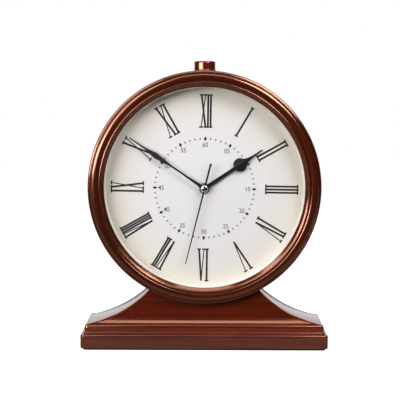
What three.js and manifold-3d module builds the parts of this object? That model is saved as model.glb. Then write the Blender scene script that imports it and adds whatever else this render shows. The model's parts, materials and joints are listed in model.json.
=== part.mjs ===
// Drum-head mantel clock: a turned wooden drum in a flared saddle on a two-step base, with a
// battery quartz movement behind the dial and a sprung push button on top.
// Millimetres, +Z up, the dial faces -Y, origin at the middle of the underside.
import * as THREE from 'three';
import * as BufferGeometryUtils from 'three/addons/utils/BufferGeometryUtils.js';
import Module from 'manifold-3d';

const wasm = await Module();
wasm.setup();

// ---- driving dimensions -------------------------------------------------------------------
const GAP = 0.3; // clearance between neighbouring pieces
const CONTACT = 0.05; // gap where two fixed pieces touch
const FACETS = { ring: 48, round: 20, small: 12, fine: 6 }; // sides of round work, by its size

const PLINTH = { width: 252, depth: 78, bottom: 2, top: 16, corner: 4, edge: 1.8 };
const STEP = { width: 243.8, depth: 70, top: 25.7, corner: 3.5, edge: 2.4, footFlare: 1.2, footHeight: 2.6 };
const PAD = { inset: 2.5, thickness: 2 };
const SADDLE = {
  halfWidth: 119.3, front: -33, face: -28, back: 26, tip: 0.8, coveHeight: 10.5, seatHalf: 52.4,
};
const LEAN = { top: 66, inward: 5.5 }; // the saddle's faces lean in by this much up to this height
const FLARE = { centreX: 142, centreZ: 142.7, radius: 118.8 };

const CASE_Z = 165.2; // height of the drum's axis
const SHAFT_Z = 163.85; // height of the hand shaft, a little below the drum's axis
const DRUM = { radius: 113.5, bore: 96, front: -28.3, back: 26, dialBore: 104.2, dialLedge: -17.4 };
const REAR_REBATE = { radius: 102.2, floor: 22.3 };
const BEZEL = { radius: 118.2, opening: 101.5, front: -37, backEdge: 117.2 };
const BEAD = { from: 104.9, to: 107.1, base: -35.4, height: 1 }; // thin moulding by the glass
const TORUS = { crest: 111, inner: 3.3, innerDrop: 0.9, outer: 4.4, outerDrop: 3 }; // broad moulding
const GLASS = { radius: 103.4, front: -31.4, back: -29.4 };
const DIAL = { radius: 103.6, front: -18.7, back: -17.7 };
const REHAUT = { outer: 103.6, frontBore: 101.8, backBore: 100.4, front: -29.1, back: -19 };

const READING = { hours: 1, minutes: 50, seconds: 32.2 }; // what the hands show at rest
const DIAL_TURN = 0.8; // degrees that the dial and hands sit clockwise of upright

const HOUR_HAND = { length: 70.8, blobAt: 43.5, blobRadius: 7, back: -21.2 };
const MINUTE_HAND = { length: 92.4, waist: 40.6, broadAt: 60, broad: 5.9, slimAt: 73, back: -23 };
const SECOND_HAND = { length: 79.4, tail: 25.8, back: -24.9 };
const HAND_THICKNESS = 0.4;

const MOVEMENT = { half: 28, front: -16.6, back: -0.6, wall: 1.2, corner: 3, bayTop: -11.6 };
const WHEEL = 0.9; // thickness of a train wheel
const PIVOT = { radius: 0.35, hole: 0.55 };
const SET_AXIS = [10.8, 0]; // setting shaft, from the hand shaft, across and up
const THIRD_AXIS = [-9 * Math.cos(Math.PI / 6), 9 * Math.sin(Math.PI / 6)];
const INTERMEDIATE_AXIS = [0, 9];
const ROTOR_AXIS = [8.5 * Math.cos(Math.PI / 3), 9 + 8.5 * Math.sin(Math.PI / 3)];
const CENTRE_AXIS = [0, 0];

const COVER = { radius: 101.8, front: 22.6, back: 25.6, window: 45 };
const DOOR = { half: 49, front: 25.9, back: 28.4, corner: 4 };
const HINGE = { x: -53.2, y: 28.2, knuckle: 2.3, pin: 1, reach: 24 };

const BUTTON = { radius: 10.9, top: 293.2, skirt: 283.3, bore: 9.2, roof: 290.8 };
const STEM = { radius: 2.5, end: 254.7 };
const COLLAR = { radius: 12, seat: 277.7, top: 280, neck: 6, bottom: 260.3 };

// ---- materials ----------------------------------------------------------------------------
function finish(color, roughness, metalness) {
  return new THREE.MeshStandardMaterial({ color, roughness, metalness });
}

const lacquer = finish(0x6b2a1a, 0.15, 0);
const darkLacquer = finish(0x55251b, 0.15, 0);
const felt = finish(0x141414, 0.95, 0);
const dialPaint = finish(0xe9e6e0, 0.5, 0);
const cream = finish(0xe4dccb, 0.4, 0);
const glassClear = finish(0xdfe8e6, 0.02, 0);
const blackPaint = finish(0x101010, 0.45, 0.2);
const chrome = finish(0xd4d4d6, 0.12, 1);
const brass = finish(0xb99a5a, 0.3, 1);
const steel = finish(0x9a9ca0, 0.35, 1);
const copper = finish(0xb5632d, 0.35, 1);
const blackPlastic = finish(0x1b1b1c, 0.5, 0);
const whitePlastic = finish(0xe3e3de, 0.45, 0);
const greenBoard = finish(0x1d5a3a, 0.5, 0);
const rubber = finish(0x1e1e1e, 0.85, 0);
const cellLabel = finish(0x34608c, 0.35, 0.3);

// ---- solid helpers ------------------------------------------------------------------------
// A closed three.js geometry as a solid that can be joined and cut, with its faces turned out.
function solid(geometry) {
  geometry.deleteAttribute('normal');
  geometry.deleteAttribute('uv');
  const merged = BufferGeometryUtils.mergeVertices(geometry, 1e-4);
  const corners = new Uint32Array(merged.index.array);
  const vertices = new Float32Array(merged.attributes.position.array);
  if (signedVolume(vertices, corners) < 0) corners.reverse();
  return new wasm.Manifold(new wasm.Mesh({ numProp: 3, vertProperties: vertices, triVerts: corners }));
}

function signedVolume(vertices, corners) {
  const [a, b, c] = [new THREE.Vector3(), new THREE.Vector3(), new THREE.Vector3()];
  let total = 0;
  for (let i = 0; i < corners.length; i += 3) {
    a.fromArray(vertices, corners[i] * 3);
    b.fromArray(vertices, corners[i + 1] * 3);
    c.fromArray(vertices, corners[i + 2] * 3);
    total += a.dot(b.cross(c));
  }
  return total;
}

function joined(first, ...others) {
  return others.reduce((body, other) => body.add(other), first);
}

function cut(first, ...others) {
  return others.reduce((body, other) => body.subtract(other), first);
}

const clock = new THREE.Group();

function addPiece(name, body, material) {
  const mesh = body.getMesh();
  const geometry = new THREE.BufferGeometry();
  geometry.setAttribute('position', new THREE.BufferAttribute(mesh.vertProperties, 3));
  geometry.setIndex(new THREE.BufferAttribute(mesh.triVerts, 1));
  geometry.computeVertexNormals();
  const piece = new THREE.Mesh(geometry, material);
  piece.name = name;
  clock.add(piece);
}

function box(x, y, z) {
  const size = [x, y, z].map(([low, high]) => high - low);
  const middle = [x, y, z].map(([low, high]) => (high + low) / 2);
  return solid(new THREE.BoxGeometry(...size).translate(...middle));
}

// A straight-sided solid of an outline drawn across X and Z, from one depth to another.
function slabY(outline, front, back, curveSegments = 6) {
  const depth = back - front;
  const geometry = new THREE.ExtrudeGeometry(outline, { depth, bevelEnabled: false, curveSegments });
  return solid(geometry.rotateX(Math.PI / 2).translate(0, back, 0));
}

// The same for an outline drawn across Y and Z, run along X from -half to +half.
function slabX(outline, half) {
  const depth = 2 * half;
  const geometry = new THREE.ExtrudeGeometry(outline, { depth, bevelEnabled: false, curveSegments: 6 });
  const turn = new THREE.Matrix4().makeBasis(
    new THREE.Vector3(0, 1, 0), new THREE.Vector3(0, 0, 1), new THREE.Vector3(1, 0, 0));
  return solid(geometry.applyMatrix4(turn).translate(-half, 0, 0));
}

// Turned work about an axis along Y through (x, z): the profile is [radius, depth] points.
function turned(profile, x = 0, z = SHAFT_Z, segments = FACETS.ring) {
  const points = profile.map(([radius, y]) => new THREE.Vector2(radius, y));
  return solid(new THREE.LatheGeometry(points, segments).translate(x, 0, z));
}

// Turned work about an upright axis: the profile is [radius, height] points.
function turnedUpright(profile, x = 0, y = 0, segments = FACETS.round) {
  const points = profile.map(([radius, z]) => new THREE.Vector2(radius, z));
  return solid(new THREE.LatheGeometry(points, segments).rotateX(Math.PI / 2).translate(x, y, 0));
}

// Turned work about an axis along X through (y, z): the profile is [radius, distance] points.
function turnedAlongX(profile, y, z, segments) {
  const points = profile.map(([radius, x]) => new THREE.Vector2(radius, x));
  return solid(new THREE.LatheGeometry(points, segments).rotateZ(-Math.PI / 2).translate(0, y, z));
}

function rod(radius, front, back, x = 0, z = SHAFT_Z, segments = FACETS.small) {
  return turned([[0, front], [radius, front], [radius, back], [0, back]], x, z, segments);
}

function tube(bore, radius, front, back, x = 0, z = SHAFT_Z, segments = FACETS.round) {
  const profile = [[bore, front], [radius, front], [radius, back], [bore, back], [bore, front]];
  return turned(profile, x, z, segments);
}

function uprightRod(radius, bottom, top, x = 0, y = 0, segments = FACETS.small) {
  return turnedUpright([[0, bottom], [radius, bottom], [radius, top], [0, top]], x, y, segments);
}

function roundedRectangle(halfWidth, halfHeight, radius, x = 0, z = 0) {
  const outline = new THREE.Shape();
  const right = x + halfWidth - radius;
  const left = x - halfWidth + radius;
  const top = z + halfHeight - radius;
  const bottom = z - halfHeight + radius;
  outline.absarc(right, bottom, radius, -Math.PI / 2, 0);
  outline.absarc(right, top, radius, 0, Math.PI / 2);
  outline.absarc(left, top, radius, Math.PI / 2, Math.PI);
  outline.absarc(left, bottom, radius, Math.PI, 1.5 * Math.PI);
  outline.closePath();
  return outline;
}

// A flat block lying on Z = bottom with rounded corners and a rounded top edge.
function mouldedBlock(width, depth, corner, bottom, top, edge) {
  const core = roundedRectangle(width / 2 - edge, depth / 2 - edge, corner - edge / 2);
  const geometry = new THREE.ExtrudeGeometry(core, {
    depth: top - bottom, bevelThickness: edge, bevelSize: edge, bevelSegments: 2, curveSegments: 3 });
  const block = solid(geometry.translate(0, 0, bottom - edge));
  return cut(block, box([-width, width], [-depth, depth], [bottom - 2 * edge - 1, bottom]));
}

// ---- wooden base --------------------------------------------------------------------------
const BASE_SCREW = { x: 70, y: 0, shank: 2, head: 4, headHeight: 3, top: 42.7 };

function screwHole(screw, x, y, bottom, top) {
  return uprightRod(screw.shank + GAP, bottom, top, x, y);
}

function makeBase() {
  const padHalf = [PLINTH.width / 2 - PAD.inset, PLINTH.depth / 2 - PAD.inset];
  const padOutline = roundedRectangle(padHalf[0], padHalf[1], PLINTH.corner);
  const depth = PAD.thickness - CONTACT;
  const pad = new THREE.ExtrudeGeometry(padOutline, { depth, bevelEnabled: false, curveSegments: 4 });
  addPiece('base_pad', solid(pad), felt);

  const { width, bottom, top, corner, edge } = PLINTH;
  let plinth = mouldedBlock(width, PLINTH.depth, corner, bottom, top, edge);
  const stepBottom = top + CONTACT;
  let step = mouldedBlock(STEP.width, STEP.depth, STEP.corner, stepBottom, STEP.top, STEP.edge);
  const foot = mouldedBlock(STEP.width + 2 * STEP.footFlare, STEP.depth + 2 * STEP.footFlare, STEP.corner,
    stepBottom, stepBottom + STEP.footHeight, STEP.footFlare);
  step = step.add(foot);
  for (const x of [-BASE_SCREW.x, BASE_SCREW.x]) {
    const headTop = bottom + BASE_SCREW.headHeight + GAP;
    const headRoom = uprightRod(BASE_SCREW.head + GAP, 0, headTop, x, BASE_SCREW.y);
    plinth = cut(plinth, screwHole(BASE_SCREW, x, BASE_SCREW.y, 0, STEP.top), headRoom);
    step = cut(step, screwHole(BASE_SCREW, x, BASE_SCREW.y, 0, STEP.top + 1));
  }
  addPiece('plinth', plinth, darkLacquer);
  addPiece('step', step, lacquer);
}

// The saddle's outline across the front: a flat foot, two hollow flares and the drum's seat.
function saddleOutline(bottom) {
  const seat = DRUM.radius + GAP;
  const seatHalfAngle = Math.asin(SADDLE.seatHalf / seat);
  const flareAngle = (x, z) => Math.atan2(z - FLARE.centreZ, x - FLARE.centreX);
  const outline = new THREE.Shape();
  outline.moveTo(-SADDLE.halfWidth, bottom);
  outline.lineTo(SADDLE.halfWidth, bottom);
  const start = flareAngle(SADDLE.halfWidth, bottom + SADDLE.tip);
  const end = flareAngle(SADDLE.seatHalf, CASE_Z - seat * Math.cos(seatHalfAngle));
  const steps = 14;
  const flare = [];
  for (let i = 0; i <= steps; i += 1) {
    const angle = start + (end - start) * (i / steps);
    const x = FLARE.centreX + FLARE.radius * Math.cos(angle);
    flare.push([x, FLARE.centreZ + FLARE.radius * Math.sin(angle)]);
  }
  flare.forEach(([x, z]) => outline.lineTo(x, z));
  for (let i = 1; i < 2 * steps; i += 1) {
    const angle = seatHalfAngle * (1 - i / steps);
    outline.lineTo(seat * Math.sin(angle), CASE_Z - seat * Math.cos(angle));
  }
  flare.reverse().forEach(([x, z]) => outline.lineTo(-x, z));
  outline.closePath();
  return outline;
}

// The saddle's section from front to back: two faces that lean in towards the top, and a cove that
// sweeps out from the front face to its foot.
function saddleSection(bottom) {
  const section = new THREE.Shape();
  const coveTop = bottom + SADDLE.coveHeight;
  section.moveTo(SADDLE.back, bottom);
  section.lineTo(SADDLE.back, coveTop);
  section.lineTo(SADDLE.back - LEAN.inward, LEAN.top);
  section.lineTo(SADDLE.face + LEAN.inward, LEAN.top);
  section.lineTo(SADDLE.face, coveTop);
  section.quadraticCurveTo(SADDLE.face, bottom + 1, SADDLE.front, bottom + 0.6);
  section.lineTo(SADDLE.front, bottom);
  section.closePath();
  return section;
}

const DRUM_SCREW = { x: 30, y: 0, shank: 1.8, head: 3.6, headHeight: 2.4, headBottom: 69.2, bottom: 42.7 };

function makeSaddle() {
  const bottom = STEP.top + CONTACT;
  const front = slabY(saddleOutline(bottom), SADDLE.front - 1, SADDLE.back + 1);
  let saddle = front.intersect(slabX(saddleSection(bottom), SADDLE.halfWidth + 1));
  for (const x of [-BASE_SCREW.x, BASE_SCREW.x]) {
    saddle = cut(saddle, screwHole(BASE_SCREW, x, BASE_SCREW.y, 0, BASE_SCREW.top + GAP));
  }
  for (const x of [-DRUM_SCREW.x, DRUM_SCREW.x]) {
    saddle = cut(saddle, screwHole(DRUM_SCREW, x, DRUM_SCREW.y, DRUM_SCREW.bottom - GAP, CASE_Z));
  }
  addPiece('saddle', saddle, lacquer);
}

// A wood screw standing on end with a slotted head, its head down when flip is -1.
function uprightScrew(screw, x, y, tip, headFace, flip) {
  const shoulder = headFace - flip * screw.headHeight;
  const heights = [tip, tip + flip * 2, shoulder, headFace];
  const profile = [[0, heights[0]], [screw.shank, heights[1]], [screw.shank, heights[2]],
    [screw.head, heights[2] + flip * 0.4], [screw.head, heights[3]], [0, heights[3]]];
  const slotDepth = screw.headHeight * 0.4;
  const slot = [headFace - slotDepth, headFace + slotDepth].sort((a, b) => a - b);
  return cut(turnedUpright(profile, x, y, FACETS.small),
    box([x - 2 * screw.head, x + 2 * screw.head], [y - 0.5, y + 0.5], slot));
}

function makeCaseScrews() {
  ['left', 'right'].forEach((side, i) => {
    const sign = i === 0 ? -1 : 1;
    const baseX = sign * BASE_SCREW.x;
    const baseScrew = uprightScrew(BASE_SCREW, baseX, BASE_SCREW.y, BASE_SCREW.top, PLINTH.bottom + 0.1, -1);
    addPiece(`base_screw_${side}`, baseScrew, steel);
    const drumX = sign * DRUM_SCREW.x;
    const headFace = DRUM_SCREW.headBottom + DRUM_SCREW.headHeight;
    const drumScrew = uprightScrew(DRUM_SCREW, drumX, DRUM_SCREW.y, DRUM_SCREW.bottom, headFace, 1);
    addPiece(`drum_screw_${side}`, drumScrew, steel);
  });
}

// ---- drum, bezel and glass ----------------------------------------------------------------
const BRACKET = { half: 14, foot: 24, front: -6, back: 6, shelf: 244.3, sheet: 1.2, flange: 256.5 };

function makeDrum() {
  const { radius, bore, front, back, dialBore, dialLedge } = DRUM;
  let drum = turned([[dialBore, front], [radius, front], [radius, back], [REAR_REBATE.radius, back],
    [REAR_REBATE.radius, REAR_REBATE.floor], [bore, REAR_REBATE.floor], [bore, dialLedge],
    [dialBore, dialLedge], [dialBore, front]], 0, CASE_Z);
  for (const x of [-DRUM_SCREW.x, DRUM_SCREW.x]) {
    const headBottom = DRUM_SCREW.headBottom - GAP;
    const headRoom = uprightRod(DRUM_SCREW.head + GAP, headBottom, CASE_Z, x, DRUM_SCREW.y);
    drum = cut(drum, screwHole(DRUM_SCREW, x, DRUM_SCREW.y, DRUM_SCREW.bottom, CASE_Z), headRoom);
  }
  const flangeSeat = uprightRod(COLLAR.radius + GAP, COLLAR.seat, BUTTON.top, 0, 0, FACETS.round);
  const neckHole = uprightRod(COLLAR.neck + GAP, CASE_Z, BUTTON.top, 0, 0, FACETS.round);
  drum = cut(drum, flangeSeat, neckHole);
  for (const angle of COVER_SCREW.angles) {
    const [x, z] = coverScrewPlace(angle);
    const tip = COVER.front - COVER_SCREW.grip - GAP;
    drum = cut(drum, rod(COVER_SCREW.shank + GAP, tip, DRUM.back, x, z));
  }
  addPiece('drum', drum, lacquer);
}

// A half-round moulding between two points of a profile, bulging by height towards the front.
function roll(fromRadius, toRadius, base, height, steps) {
  const points = [];
  const middle = (fromRadius + toRadius) / 2;
  const half = (toRadius - fromRadius) / 2;
  for (let i = 0; i <= steps; i += 1) {
    const angle = Math.PI * (i / steps);
    points.push([middle - half * Math.cos(angle), base - height * Math.sin(angle)]);
  }
  return points;
}

// The broad moulding: a quarter ellipse up to the crest and a deeper one down its outer side.
function torusProfile() {
  const { crest, inner, innerDrop, outer, outerDrop } = TORUS;
  const points = [];
  const steps = 3;
  for (let i = 0; i <= 2 * steps; i += 1) {
    const angle = (Math.PI / 2) * (i / steps);
    const [reach, drop] = i <= steps ? [inner, innerDrop] : [outer, outerDrop];
    points.push([crest - reach * Math.cos(angle), BEZEL.front + drop * (1 - Math.sin(angle))]);
  }
  return points;
}

function makeBezel() {
  const seat = DRUM.front - CONTACT;
  const glassRoom = GLASS.radius + 0.5;
  const lip = GLASS.front - GAP - CONTACT;
  const lipFront = [BEZEL.opening, lip - 0.55];
  const profile = [
    lipFront,
    ...roll(BEAD.from, BEAD.to, BEAD.base, BEAD.height, 2),
    ...torusProfile(),
    [BEZEL.radius - 0.5, -33.2],
    [BEZEL.radius, -31.6],
    [BEZEL.radius, -29.6],
    [BEZEL.backEdge, seat],
    [glassRoom, seat],
    [glassRoom, lip],
    [BEZEL.opening, lip],
    lipFront,
  ];
  addPiece('bezel', turned(profile, 0, CASE_Z), lacquer);
}

function makeGlassAndDial() {
  const ringTube = (bore, radius, front, back) => tube(bore, radius, front, back, 0, CASE_Z, FACETS.ring);
  addPiece('glass', rod(GLASS.radius, GLASS.front, GLASS.back, 0, CASE_Z, FACETS.ring), glassClear);
  const gasket = ringTube(REHAUT.frontBore, GLASS.radius, GLASS.front - GAP, GLASS.front - CONTACT);
  addPiece('glass_gasket', gasket, rubber);
  addPiece('rehaut', turned([[REHAUT.backBore, REHAUT.back], [REHAUT.frontBore, REHAUT.front],
    [REHAUT.outer, REHAUT.front], [REHAUT.outer, REHAUT.back], [REHAUT.backBore, REHAUT.back]],
  0, CASE_Z), cream);
  const sheet = rod(DIAL.radius, DIAL.front, DIAL.back, 0, CASE_Z, FACETS.ring);
  const shaftHole = rod(BUSH.radius + GAP, DIAL.front - 1, DIAL.back + 1, 0, SHAFT_Z, FACETS.round);
  addPiece('dial', cut(sheet, shaftHole), dialPaint);
}

// ---- hands --------------------------------------------------------------------------------
const BUSH = { radius: 4, bore: 2.6, front: -20.9 };
const PIPE = { hourBore: 1.6, hour: 2.3, minuteBore: 0.8, minute: 1.3, second: 0.5 };

const fullTurn = 2 * Math.PI;
const clockwise = (turn) => -turn * fullTurn - THREE.MathUtils.degToRad(DIAL_TURN);
const minuteTurn = (READING.minutes + READING.seconds / 60) / 60;
const HAND_ANGLE = {
  hour: clockwise((READING.hours + minuteTurn) / 12),
  minute: clockwise(minuteTurn),
  second: clockwise(READING.seconds / 60),
};

// An outline drawn pointing up from the hand shaft, turned to its place on the dial.
function placeHand(outline, front, back, angle) {
  const geometry = new THREE.ExtrudeGeometry(outline, { depth: back - front, bevelEnabled: false });
  geometry.rotateZ(angle).rotateX(Math.PI / 2).translate(0, back, SHAFT_Z);
  return solid(geometry);
}

// Both sides of a hand from its right-hand [half width, distance] points, in order from the hub.
function handOutline(right) {
  const outline = new THREE.Shape();
  right.forEach(([half, at], i) => (i === 0 ? outline.moveTo(half, at) : outline.lineTo(half, at)));
  [...right].reverse().forEach(([half, at]) => outline.lineTo(-half, at));
  outline.closePath();
  return outline;
}

function makeHourHand() {
  const { length, blobAt, blobRadius, back } = HOUR_HAND;
  const right = [[2.1, 0], [1.75, blobAt - blobRadius + 0.2]];
  const [firstAngle, lastAngle, steps] = [-60, 40, 7];
  for (let i = 0; i <= steps; i += 1) {
    const angle = THREE.MathUtils.degToRad(firstAngle + (lastAngle - firstAngle) * (i / steps));
    right.push([blobRadius * Math.cos(angle), blobAt + blobRadius * Math.sin(angle)]);
  }
  right.push([2.7, blobAt + 7.5], [1.5, blobAt + 12], [0.9, blobAt + 17], [0.7, length]);
  const front = back - HAND_THICKNESS;
  const blade = placeHand(handOutline(right), front, back, HAND_ANGLE.hour);
  const hub = rod(4.2, front, back, 0, SHAFT_Z, FACETS.round);
  const hole = rod(PIPE.hour + 0.1, front - 1, back + 1, 0, SHAFT_Z, FACETS.round);
  addPiece('hour_hand', cut(blade.add(hub), hole), blackPaint);
}

function makeMinuteHand() {
  const { length, waist, broadAt, broad, slimAt, back } = MINUTE_HAND;
  const right = [[2.2, 0], [1, waist / 2], [0.9, waist], [broad / 2, broadAt], [0.9, slimAt], [0.5, length]];
  const front = back - HAND_THICKNESS;
  const blade = placeHand(handOutline(right), front, back, HAND_ANGLE.minute);
  const hub = rod(3.4, front, back, 0, SHAFT_Z, FACETS.round);
  const hole = rod(PIPE.minute + 0.1, front - 1, back + 1, 0, SHAFT_Z, FACETS.round);
  addPiece('minute_hand', cut(blade.add(hub), hole), blackPaint);
}

function makeSecondHand() {
  const { length, tail, back } = SECOND_HAND;
  const right = [[0.5, -tail - 0.8], [1.1, -tail], [1.1, -tail + 2.2], [0.85, -tail + 4],
    [0.95, 0], [0.5, length]];
  const front = back - HAND_THICKNESS;
  const blade = placeHand(handOutline(right), front, back, HAND_ANGLE.second);
  const hub = rod(3, front, back, 0, SHAFT_Z, FACETS.round);
  const hole = rod(PIPE.second + 0.1, front - 1, back + 1, 0, SHAFT_Z, FACETS.small);
  addPiece('second_hand', cut(blade.add(hub), hole), blackPaint);
  const capBack = front - CONTACT;
  const dome = [[0, capBack - 1.9], [1.6, capBack - 1.75], [2.9, capBack - 1.25], [3.6, capBack - 0.6],
    [3.75, capBack]];
  addPiece('hand_cap', turned([...dome, [0, capBack]], 0, SHAFT_Z, FACETS.round), chrome);
}

function makeDialFixings() {
  const nut = { front: -20.7, back: -19.1, radius: 5.6, washer: 5.8 };
  const hexagon = rod(nut.radius, nut.front, nut.back, 0, SHAFT_Z, 6);
  const bore = BUSH.radius + 0.15;
  const bushRoom = rod(bore, nut.front - 1, nut.back + 1, 0, SHAFT_Z, FACETS.round);
  addPiece('hand_nut', cut(hexagon, bushRoom), brass);
  addPiece('nut_washer', tube(bore, nut.washer, nut.back + CONTACT, DIAL.front - CONTACT), brass);
  addPiece('rubber_washer', tube(bore, 8.5, DIAL.back + CONTACT, MOVEMENT.front - CONTACT), rubber);
}

// ---- quartz movement ----------------------------------------------------------------------
const offAxis = ([across, up]) => [across, SHAFT_Z + up];
const INNER_FRONT = MOVEMENT.front + MOVEMENT.wall;
const INNER_BACK = MOVEMENT.back - MOVEMENT.wall;
const PLATE = { front: -12.3, back: -11.5, left: -26.4, right: 26.4, bottom: -10.2, top: 26.4 };
const KNOB = { radius: 7, shaft: 1.2, front: 0.2, back: 5.6 };

// Depths of the wheels, front face first, from the dial backwards.
const LAYER = {
  hour: -15,
  cannon: -13.7,
  centre: -11.1,
  third: -9.7,
  seconds: -8.4,
  intermediate: -7.1,
};

function makeMovementFront() {
  const { half, front, corner } = MOVEMENT;
  const plate = slabY(roundedRectangle(half, half, corner, 0, SHAFT_Z), front, INNER_FRONT, 3);
  const bush = rod(BUSH.radius, BUSH.front, front + 0.5, 0, SHAFT_Z, FACETS.round);
  const posts = [[-24, -8], [24, -8], [-24, 24], [24, 24]].map(([across, up]) =>
    rod(1.6, front + 0.5, PLATE.front - 0.1, across, SHAFT_Z + up, FACETS.fine));
  const bore = rod(BUSH.bore, BUSH.front - 1, 0, 0, SHAFT_Z, FACETS.round);
  const [setX, setZ] = offAxis(SET_AXIS);
  const pivotHole = rod(PIVOT.hole, front - 1, 0, setX, setZ, FACETS.fine);
  addPiece('movement_front', cut(joined(plate, bush, ...posts), bore, pivotHole), blackPlastic);
}

const BAY = { half: 26.8, bottom: -27.2, floor: -14.1 };

function makeMovementBack() {
  const { half, back, wall, corner, bayTop } = MOVEMENT;
  const front = INNER_FRONT + 0.3;
  const shell = slabY(roundedRectangle(half, half, corner, 0, SHAFT_Z), front, back, 3);
  const inner = half - wall;
  const train = box([-inner, inner], [front - 1, INNER_BACK], [SHAFT_Z + bayTop + 1, SHAFT_Z + inner]);
  const bayHeight = [SHAFT_Z + BAY.bottom, SHAFT_Z + bayTop];
  const bay = box([-BAY.half, BAY.half], [BAY.floor, back + 1], bayHeight);
  const holes = [THIRD_AXIS, INTERMEDIATE_AXIS, ROTOR_AXIS, CENTRE_AXIS].map((axis) =>
    rod(PIVOT.hole, INNER_BACK - 1, back + 1, ...offAxis(axis), FACETS.fine));
  const shaftHole = rod(KNOB.shaft + GAP, INNER_BACK - 1, back + 1, ...offAxis(SET_AXIS), FACETS.small);
  addPiece('movement_back', cut(shell, train, bay, ...holes, shaftHole), blackPlastic);
}

function makeGearPlate() {
  const plate = box([PLATE.left, PLATE.right], [PLATE.front, PLATE.back],
    [SHAFT_Z + PLATE.bottom, SHAFT_Z + PLATE.top]);
  const pivots = [THIRD_AXIS, INTERMEDIATE_AXIS, ROTOR_AXIS].map((axis) =>
    rod(PIVOT.hole, PLATE.front - 1, PLATE.back + 1, ...offAxis(axis), FACETS.fine));
  const shaftBore = (radius, axis) =>
    rod(radius + GAP, PLATE.front - 1, PLATE.back + 1, ...offAxis(axis), FACETS.small);
  const centreHole = shaftBore(PIPE.minute, CENTRE_AXIS);
  const shaftHole = shaftBore(KNOB.shaft, SET_AXIS);
  addPiece('gear_plate', cut(plate, ...pivots, centreHole, shaftHole), whitePlastic);
}

// Tooth proportions in modules and in fractions of the tooth pitch.
const TOOTH = { addendum: 0.75, dedendum: 1.15, pinionTip: 0.16, pinionRoot: 0.44, wheelRoot: 0.62 };

// Train ratios: each pair is [pinion teeth, wheel teeth, distance between their axes].
const MESH = {
  rotor: [6, 45, 8.5],
  seconds: [8, 32, 9],
  third: [6, 45, 9],
  centre: [6, 48, 9],
  setting: [10, 30, 10.8],
  hour: [8, 32, 10.8],
};

function gear(pair, isPinion, phase, front, thickness, axis) {
  const [pinionTeeth, wheelTeeth, distance] = MESH[pair];
  const module = 2 * distance / (pinionTeeth + wheelTeeth);
  const teeth = isPinion ? pinionTeeth : wheelTeeth;
  const pitchRadius = teeth * module / 2;
  const tipRadius = pitchRadius + TOOTH.addendum * module;
  const rootRadius = pitchRadius - TOOTH.dedendum * module;
  const pitch = fullTurn / teeth;
  const rootHalf = (isPinion ? TOOTH.pinionRoot : TOOTH.wheelRoot) * pitch / 2;
  const tipHalf = TOOTH.pinionTip * pitch / 2;
  const tips = isPinion ? [[tipRadius, -tipHalf], [tipRadius, tipHalf]] : [[tipRadius, 0]];
  const outline = new THREE.Shape();
  for (let i = 0; i < teeth; i += 1) {
    const middle = phase + i * pitch;
    const corners = [[rootRadius, -rootHalf], ...tips, [rootRadius, rootHalf]];
    corners.forEach(([radius, offset], j) => {
      const place = [radius * Math.cos(middle + offset), radius * Math.sin(middle + offset)];
      if (i + j === 0) outline.moveTo(...place);
      else outline.lineTo(...place);
    });
  }
  outline.closePath();
  const [x, z] = offAxis(axis);
  return slabY(outline, front, front + thickness).translate(x, 0, z);
}

// The wheel phase that puts its tooth spaces opposite the teeth of a pinion at phase 0.
function phaseInMesh(pair, pinionAxis, wheelAxis) {
  const [pinionTeeth, wheelTeeth] = MESH[pair];
  const line = Math.atan2(wheelAxis[1] - pinionAxis[1], wheelAxis[0] - pinionAxis[0]);
  const offset = line * pinionTeeth / fullTurn;
  return line + Math.PI - (0.5 - offset) * fullTurn / wheelTeeth;
}

function pivots(axis, front, back) {
  return rod(PIVOT.radius, front, back, ...offAxis(axis), FACETS.fine);
}

function makeGoingTrain() {
  const rotorWheelPhase = phaseInMesh('rotor', ROTOR_AXIS, INTERMEDIATE_AXIS);
  const secondsPhase = phaseInMesh('seconds', INTERMEDIATE_AXIS, CENTRE_AXIS);
  const thirdPhase = phaseInMesh('third', CENTRE_AXIS, THIRD_AXIS);
  const centrePhase = phaseInMesh('centre', THIRD_AXIS, CENTRE_AXIS);
  const pivotBack = MOVEMENT.back - 0.2;

  const rotorPinion = gear('rotor', true, 0, LAYER.intermediate - 0.2, WHEEL + 0.6, ROTOR_AXIS);
  const magnet = rod(2.5, -5.6, -3.2, ...offAxis(ROTOR_AXIS), FACETS.small);
  addPiece('rotor', joined(rotorPinion, magnet, pivots(ROTOR_AXIS, PLATE.front, pivotBack)), steel);

  const intermediate = joined(
    gear('rotor', false, rotorWheelPhase, LAYER.intermediate, WHEEL, INTERMEDIATE_AXIS),
    gear('seconds', true, 0, LAYER.seconds, LAYER.intermediate - LAYER.seconds + 0.1, INTERMEDIATE_AXIS),
    pivots(INTERMEDIATE_AXIS, PLATE.front, pivotBack));
  addPiece('intermediate_wheel', intermediate, whitePlastic);

  const secondsArbor = joined(
    gear('seconds', false, secondsPhase, LAYER.seconds, WHEEL, CENTRE_AXIS),
    gear('third', true, 0, LAYER.third, LAYER.seconds - LAYER.third + 0.1, CENTRE_AXIS),
    rod(PIPE.second, SECOND_HAND.back - HAND_THICKNESS, -7, 0, SHAFT_Z, FACETS.small),
    pivots(CENTRE_AXIS, -8, pivotBack));
  addPiece('seconds_wheel', secondsArbor, steel);

  const third = joined(
    gear('third', false, thirdPhase, LAYER.third, WHEEL, THIRD_AXIS),
    gear('centre', true, 0, LAYER.centre, LAYER.third - LAYER.centre + 0.1, THIRD_AXIS),
    pivots(THIRD_AXIS, PLATE.front, pivotBack));
  addPiece('third_wheel', third, whitePlastic);

  const centreHole = rod(PIPE.minute + 0.1, LAYER.centre - 1, LAYER.third, 0, SHAFT_Z, FACETS.round);
  const centreWheel = gear('centre', false, centrePhase, LAYER.centre, WHEEL, CENTRE_AXIS);
  addPiece('centre_wheel', cut(centreWheel, centreHole), brass);
}

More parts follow.
